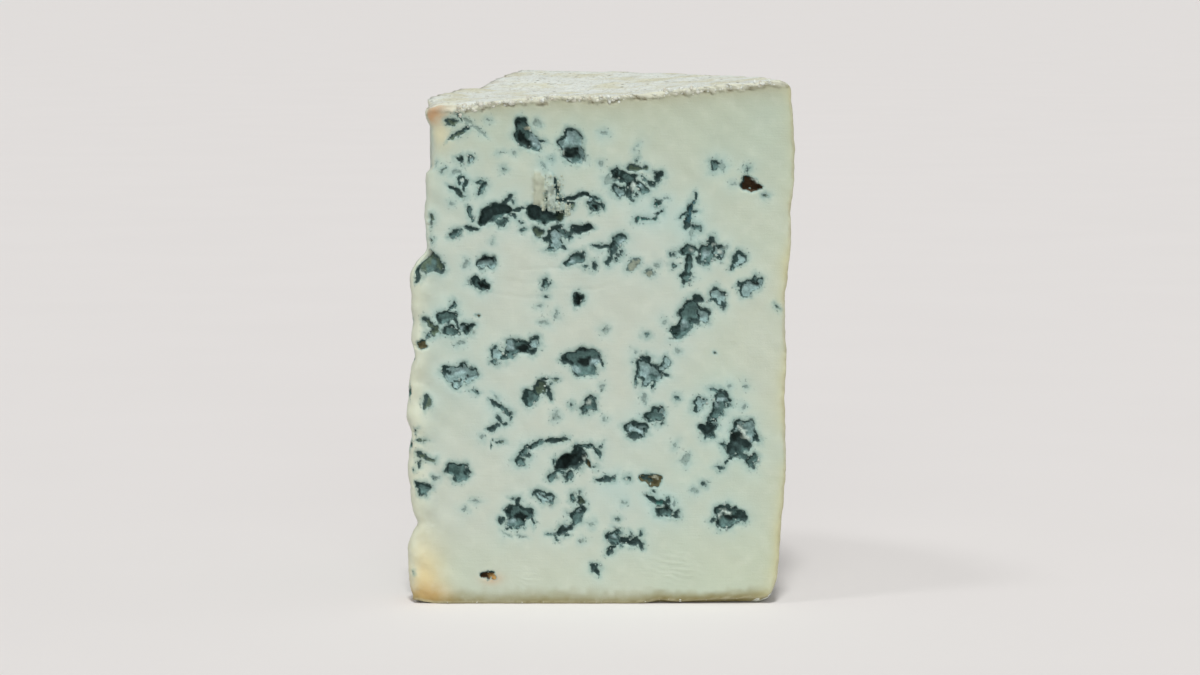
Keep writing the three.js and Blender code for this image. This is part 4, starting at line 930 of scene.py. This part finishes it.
def makeCrumbs():
    # crumbs of paste at the pockets' torn rims and on their floors, and all over the torn flake
    rng = np.random.default_rng(crumbSet["seed"])
    along = rng.uniform(4, 102, crumbSet["tries"])
    up = rng.uniform(4, 138, crumbSet["tries"])
    index, spot = surfaceNear(along, up)
    beside = (veinGap[index] > -0.8) & (veinGap[index] < 0.5) & (mouldCover[index, 3] > 0.8)
    torn = np.array(flakeStrips)[rng.integers(0, len(flakeStrips), crumbSet["onFlake"])]
    side, rise = rng.uniform(-0.85, 0.85, (2, crumbSet["onFlake"]))
    _, tornSpot = surfaceNear(torn[:, 0] + side * torn[:, 2], torn[:, 1] + rise * torn[:, 3])
    spot = np.vstack([spot[beside], tornSpot])
    count = len(spot)
    sizes = rng.uniform(crumbSet["low"], crumbSet["high"], count)
    stretch = rng.uniform(0.7, 1.3, (count, 3))
    cloud, faces = makeLumps(spot, sizes, stretch, 63)
    print("cheese:", count, "crumbs")
    tone = mix(np.tile(linear("#AEBCB2"), (count, 1)), np.array(linear("#879E99")), rng.uniform(0, 1, count))
    pale = mix(np.tile(linear("#B4BBA4"), (count, 1)), np.array(linear("#AEBDB1")), rng.uniform(0, 1, count))
    tone = np.where((np.arange(count) < beside.sum())[:, None], tone, pale)
    tone = np.repeat(tone, lump["rings"] * lump["sides"] + 2, axis=0)
    piece = makeMesh("paste_crumbs", cloud, faces, {
        "veinGap": np.full(len(cloud), 9.0), "core": np.zeros(len(cloud)), "floury": np.ones(len(cloud)),
        "mould": np.tile(rgba("#8C9D90"), (len(cloud), 1)), "paste": np.hstack([tone, np.ones((len(tone), 1))])})
    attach(piece, "root")
    return piece


bloomTufts = makeTufts()
pasteCrumbs = makeCrumbs()

print("cheese: materials")


def addNode(material, kind, inputs=None, output=0, **settings):
    # adds a node with its settings and links and gives one output; an input is a number, a colour
    # or another node's output
    node = material.node_tree.nodes.new("ShaderNode" + kind)
    for name, value in settings.items():
        setattr(node, name, value)
    for name, value in (inputs or {}).items():
        if isinstance(value, bpy.types.NodeSocket):
            material.node_tree.links.new(value, node.inputs[name])
        else:
            node.inputs[name].default_value = value
    return node.outputs[output] if node.outputs else None


def newMaterial(name):
    material = bpy.data.materials.new(name)
    material.use_nodes = True
    material.node_tree.nodes.clear()
    return material


def perMillimetre(size):
    # a noise scale that gives features of this size in millimetres, on coordinates in metres
    return 1 / (size * mm)


pasteLook = {
    "roughness": 0.48,
    "scatter": 0.5,                     # share of light that goes through the paste
    "scatterRadius": (1.0, 0.92, 0.8),
    "scatterDepth": 1.5,                # mm
    "rim": "#314744",
    "stain": "#86A39B",
    "speck": "#5E726C",
    "chalk": "#DCE1D2",
    "fray": 1.2,                        # mm, size of the ragged bits of a pocket's edge
    "mottle": 1.1,
    "fluffSize": 1.4,
    "speckSize": 0.9,
    "grain": 0.5,
    "drag": 0.6,                        # height of the lines that the wire drew
}


def pasteMaterial():
    # Cheese paste, fat and protein, cut by a wire: moist and faintly glossy, smooth but for fine
    # drag lines, with light passing a little way into it. The mould in its pockets is dry and dull,
    # almost black at the rim and blue-grey and downy inside.
    material = newMaterial("blue cheese paste")
    place = addNode(material, "TexCoord", output="Object")
    distance = addNode(material, "Attribute", attribute_name="veinGap", output="Fac")
    coreShare = addNode(material, "Attribute", attribute_name="core", output="Fac")
    tone = addNode(material, "Attribute", attribute_name="mould", output="Color")
    cover = addNode(material, "Attribute", attribute_name="mould", output="Alpha")
    floury = addNode(material, "Attribute", attribute_name="floury", output="Fac")
    paste = addNode(material, "Attribute", attribute_name="paste", output="Color")

    # the pocket's edge, frayed
    fray = addNode(material, "TexNoise", {
        "Vector": place, "Scale": perMillimetre(pasteLook["fray"]), "Detail": 4.0, "Roughness": 0.65})
    fray = addNode(material, "MapRange", {0: fray, 1: 0.3, 2: 0.7, 3: -0.4, 4: 0.4})
    gap = addNode(material, "Math", {0: distance, 1: fray}, operation="ADD")
    inside = addNode(material, "MapRange", {0: gap, 1: 0.32, 2: -0.3}, interpolation_type="SMOOTHSTEP")
    inside = addNode(material, "Math", {0: inside, 1: cover}, operation="MULTIPLY")

    # the paste, with faint chalky flecks, then blue stain and dark specks close to the mould
    chalk = addNode(material, "TexNoise", {"Vector": place, "Scale": perMillimetre(3.4), "Detail": 4.0})
    chalk = addNode(material, "MapRange", {0: chalk, 1: 0.45, 2: 0.8, 4: 0.16}, interpolation_type="SMOOTHSTEP")
    skin = addNode(material, "Mix", {0: chalk, 6: paste, 7: rgba(pasteLook["chalk"])}, 2, data_type="RGBA")
    stain = addNode(material, "MapRange", {0: gap, 1: 2.2, 2: 0.0, 4: 0.75}, interpolation_type="SMOOTHSTEP")
    stain = addNode(material, "Math", {0: stain, 1: 1.6}, operation="POWER")
    stain = addNode(material, "Math", {0: stain, 1: cover}, operation="MULTIPLY")
    skin = addNode(material, "Mix", {0: stain, 6: skin, 7: rgba(pasteLook["stain"])}, 2, data_type="RGBA")
    speck = addNode(material, "TexNoise", {
        "Vector": place, "Scale": perMillimetre(pasteLook["speckSize"]), "Detail": 2.0})
    speck = addNode(material, "MapRange", {0: speck, 1: 0.63, 2: 0.7}, interpolation_type="SMOOTHSTEP")
    close = addNode(material, "MapRange", {0: distance, 1: 2.6, 2: 0.4, 4: 0.75}, interpolation_type="SMOOTHSTEP")
    speck = addNode(material, "Math", {0: speck, 1: close}, operation="MULTIPLY")
    skin = addNode(material, "Mix", {0: speck, 6: skin, 7: rgba(pasteLook["speck"])}, 2, data_type="RGBA")

    # the mould: near black at the rim, which is painted wider on the upper left as shade, its own colour inside,
    # mottled dark and downy light
    mottle = addNode(material, "TexNoise", {
        "Vector": place, "Scale": perMillimetre(pasteLook["mottle"]), "Detail": 3.0, "Roughness": 0.6})
    ragged = addNode(material, "MapRange", {0: mottle, 1: 0.3, 2: 0.7, 3: -0.32, 4: 0.32})
    ragged = addNode(material, "Math", {0: coreShare, 1: ragged}, operation="ADD")
    ragged = addNode(material, "MapRange", {0: ragged, 1: 0.2, 2: 0.85}, interpolation_type="SMOOTHSTEP")
    body = addNode(material, "Mix", {0: ragged, 6: rgba(pasteLook["rim"]), 7: tone}, 2, data_type="RGBA")
    down = addNode(material, "TexNoise", {
        "Vector": place, "Scale": perMillimetre(pasteLook["fluffSize"]), "Detail": 4.0, "Roughness": 0.7})
    down = addNode(material, "MapRange", {0: down, 1: 0.3, 2: 0.7, 3: 0.62, 4: 1.42})
    down = addNode(material, "CombineColor", {0: down, 1: down, 2: down})
    body = addNode(material, "Mix", {0: 1.0, 6: body, 7: down}, 2, data_type="RGBA", blend_type="MULTIPLY")
    skin = addNode(material, "Mix", {0: inside, 6: skin, 7: body}, 2, data_type="RGBA")

    # dull where mouldy or floury, and less light gets in there
    dull = addNode(material, "Math", {0: inside, 1: floury}, operation="MAXIMUM")
    roughness = addNode(material, "MapRange", {0: dull, 3: pasteLook["roughness"], 4: 0.88})
    scatter = addNode(material, "MapRange", {0: dull, 3: pasteLook["scatter"], 4: 0.05})

    # relief finer than the mesh: drag lines along the cut, grain, and down in the pockets
    along = addNode(material, "Mapping", {"Vector": place, "Scale": (0.1, 1.0, 1.0)})
    drag = addNode(material, "TexNoise", {
        "Vector": along, "Scale": perMillimetre(pasteLook["drag"]), "Detail": 2.0})
    drag = addNode(material, "Math", {0: drag, 1: 0.06}, operation="MULTIPLY")
    grain = addNode(material, "TexNoise", {
        "Vector": place, "Scale": perMillimetre(pasteLook["grain"]), "Detail": 3.0, "Roughness": 0.6})
    coarse = addNode(material, "MapRange", {0: dull, 3: 0.07, 4: 0.28})
    grain = addNode(material, "Math", {0: grain, 1: coarse}, operation="MULTIPLY")
    rise = addNode(material, "Math", {0: grain, 1: drag}, operation="ADD")
    bump = addNode(material, "Bump", {"Height": rise, "Distance": 1.0 * mm, "Strength": 0.8})
    shader = addNode(material, "BsdfPrincipled", {
        "Base Color": skin, "Roughness": roughness, "IOR": 1.45, "Specular IOR Level": 0.35,
        "Subsurface Weight": scatter, "Subsurface Radius": pasteLook["scatterRadius"],
        "Subsurface Scale": pasteLook["scatterDepth"] * mm, "Normal": bump})
    addNode(material, "OutputMaterial", {"Surface": shader})
    return material


rindLook = {
    "bloom": "#EAF0E8",
    "cream": "#E0E1CA",
    "grey": "#AEB2A6",
    "ochre": "#B2A988",
    "speck": "#7F7A66",
    "flour": "#DDE2D6",
    "toast": "#AD9468",
    "roughness": 0.9,
    "patch": 12.0,                      # mm
    "wear": 4.0,
    "pit": 2.6,
    "crust": 1.1,
    "fold": 3.2,
}


def rindMaterial():
    # Natural rind: dried paste under a floury bloom, pitted and wrinkled, with grey and brown specks
    material = newMaterial("bloomy rind")
    place = addNode(material, "TexCoord", output="Object")
    floury = addNode(material, "Attribute", attribute_name="floury", output="Fac")
    toast = addNode(material, "Attribute", attribute_name="toast", output="Fac")
    patch = addNode(material, "TexNoise", {
        "Vector": place, "Scale": perMillimetre(rindLook["patch"]), "Detail": 3.0, "Roughness": 0.6})
    patch = addNode(material, "MapRange", {0: patch, 1: 0.45, 2: 0.65}, interpolation_type="SMOOTHSTEP")
    colour = addNode(material, "Mix", {
        0: patch, 6: rgba(rindLook["bloom"]), 7: rgba(rindLook["cream"])}, 2, data_type="RGBA")
    wear = addNode(material, "TexNoise", {
        "Vector": place, "Scale": perMillimetre(rindLook["wear"]), "Detail": 4.0, "Roughness": 0.7})
    wear = addNode(material, "MapRange", {0: wear, 1: 0.56, 2: 0.7, 4: 0.6}, interpolation_type="SMOOTHSTEP")
    colour = addNode(material, "Mix", {0: wear, 6: colour, 7: rgba(rindLook["grey"])}, 2, data_type="RGBA")
    crustNoise = addNode(material, "TexNoise", {
        "Vector": place, "Scale": perMillimetre(rindLook["crust"]), "Detail": 4.0, "Roughness": 0.65})
    dry = addNode(material, "MapRange", {0: crustNoise, 1: 0.5, 2: 0.7, 4: 0.5}, interpolation_type="SMOOTHSTEP")
    colour = addNode(material, "Mix", {0: dry, 6: colour, 7: rgba(rindLook["ochre"])}, 2, data_type="RGBA")
    cells = addNode(material, "TexVoronoi", {"Vector": place, "Scale": perMillimetre(rindLook["pit"])})
    pit = addNode(material, "MapRange", {0: cells, 1: 0.24, 2: 0.1}, interpolation_type="SMOOTHSTEP")
    few = addNode(material, "TexNoise", {"Vector": place, "Scale": perMillimetre(9.0), "Detail": 2.0})
    few = addNode(material, "MapRange", {0: few, 1: 0.5, 2: 0.6, 4: 0.8}, interpolation_type="SMOOTHSTEP")
    pit = addNode(material, "Math", {0: pit, 1: few}, operation="MULTIPLY")
    colour = addNode(material, "Mix", {0: pit, 6: colour, 7: rgba(rindLook["speck"])}, 2, data_type="RGBA")
    dusted = addNode(material, "Math", {0: floury, 1: 0.6}, operation="MULTIPLY")
    colour = addNode(material, "Mix", {0: dusted, 6: colour, 7: rgba(rindLook["flour"])}, 2, data_type="RGBA")
    brown = addNode(material, "MapRange", {0: wear, 2: 0.6, 3: 0.5, 4: 0.9})
    brown = addNode(material, "Math", {0: brown, 1: toast}, operation="MULTIPLY")
    colour = addNode(material, "Mix", {0: brown, 6: colour, 7: rgba(rindLook["toast"])}, 2, data_type="RGBA")

    fold = addNode(material, "TexNoise", {
        "Vector": place, "Scale": perMillimetre(rindLook["fold"]), "Detail": 3.0, "Roughness": 0.6})
    rise = addNode(material, "Math", {0: fold, 1: 1.2, 2: crustNoise}, operation="MULTIPLY_ADD")
    rise = addNode(material, "Math", {0: pit, 1: -0.6, 2: rise}, operation="MULTIPLY_ADD")
    bump = addNode(material, "Bump", {"Height": rise, "Distance": 1.0 * mm, "Strength": 0.9})
    shader = addNode(material, "BsdfPrincipled", {
        "Base Color": colour, "Roughness": rindLook["roughness"], "IOR": 1.45, "Specular IOR Level": 0.2,
        "Subsurface Weight": 0.1, "Subsurface Radius": (1.0, 0.9, 0.75), "Subsurface Scale": 1.0 * mm,
        "Normal": bump})
    addNode(material, "OutputMaterial", {"Surface": shader})
    return material


pasteSkin = pasteMaterial()
rindSkin = rindMaterial()
wedge.data.materials.append(pasteSkin)
wedge.data.materials.append(rindSkin)
# the bevel under the front face is cut paste too
wholeCut = (onCut > 0.5) | ((share < 0.01) & (points[:, 1] < 2))
wedge.data.polygons.foreach_set("material_index", [int(not all(wholeCut[i] for i in face)) for face in wedgeFaces])
pasteCrumbs.data.materials.append(pasteSkin)
bloomTufts.data.materials.append(rindSkin)

print("cheese: floor, light and camera")

studio = {
    "floor": "#E9E6E4",
    "floorSize": 40000,     # mm
    "sky": 0.31,            # brightness of the even light from all round
    "skyColour": "#F7F5F4",
    # strength, degrees across, where it comes from
    "window": (1.85, 8, (0.0, -0.6, 1.0)),
    "fill": (0.7, 40, (0.0, -1.0, 0.3)),
    "lamp": (0.3, 10, (-0.48, -0.28, 1.0)),     # its shadow is the long faint one
}


def makeFloor():
    half = studio["floorSize"] / 2
    corners = np.array([[-half, -half, 0], [half, -half, 0], [half, half, 0], [-half, half, 0]], float)
    floor = makeMesh("floor", corners - [0, 0, 0.05], [[0, 1, 2, 3]])
    material = newMaterial("matt paper")
    place = addNode(material, "TexCoord", output="Object")
    cloud = addNode(material, "TexNoise", {"Vector": place, "Scale": 9.0, "Detail": 2.0})
    shade = addNode(material, "MapRange", {0: cloud, 3: 0.985, 4: 1.015})
    grey = addNode(material, "CombineColor", {0: shade, 1: shade, 2: shade})
    colour = addNode(material, "Mix", {0: 1.0, 6: grey, 7: rgba(studio["floor"])}, 2,
                     data_type="RGBA", blend_type="MULTIPLY")
    shader = addNode(material, "BsdfPrincipled", {"Base Color": colour, "Roughness": 0.9, "Specular IOR Level": 0.1})
    addNode(material, "OutputMaterial", {"Surface": shader})
    floor.data.materials.append(material)
    floor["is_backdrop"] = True


makeFloor()
world = bpy.data.worlds.new("studio")
bpy.context.scene.world = world
world.use_nodes = True
world.node_tree.nodes["Background"].inputs["Color"].default_value = rgba(studio["skyColour"])
world.node_tree.nodes["Background"].inputs["Strength"].default_value = studio["sky"]

for name in ("window", "fill", "lamp"):
    strength, across, direction = studio[name]
    light = bpy.data.objects.new(name, bpy.data.lights.new(name, "SUN"))
    light.data.energy = strength
    light.data.angle = math.radians(across)
    light.rotation_mode = "QUATERNION"
    light.rotation_quaternion = Vector(direction).to_track_quat("Z", "Y")
    bpy.context.scene.collection.objects.link(light)

view = {
    "distance": 1100,       # mm, from the front face
    "rise": 184,            # camera height over the table
    "aim": 77.4,            # height that it looks at
    "scale": 0.2864,        # mm of the front face to a pixel of a picture 1200 wide
    "pictureWidth": 1200,
    "sensor": 36,
}
camera = bpy.data.objects.new("camera", bpy.data.cameras.new("camera"))
bpy.context.scene.collection.objects.link(camera)
bpy.context.scene.camera = camera
frontPlane = boxLow[1]
eye = Vector((0, frontPlane - view["distance"], view["rise"])) * mm
aim = Vector((0, frontPlane, view["aim"])) * mm
reach = (aim - eye).length / mm
camera.location = eye
camera.rotation_mode = "QUATERNION"
camera.rotation_quaternion = (eye - aim).to_track_quat("Z", "Y")
camera.data.sensor_width = view["sensor"]
camera.data.lens = reach * view["sensor"] / (view["scale"] * view["pictureWidth"])
camera.data.clip_start, camera.data.clip_end = 0.05, 60
bpy.context.scene.view_settings.view_transform = "Standard"

low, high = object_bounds()
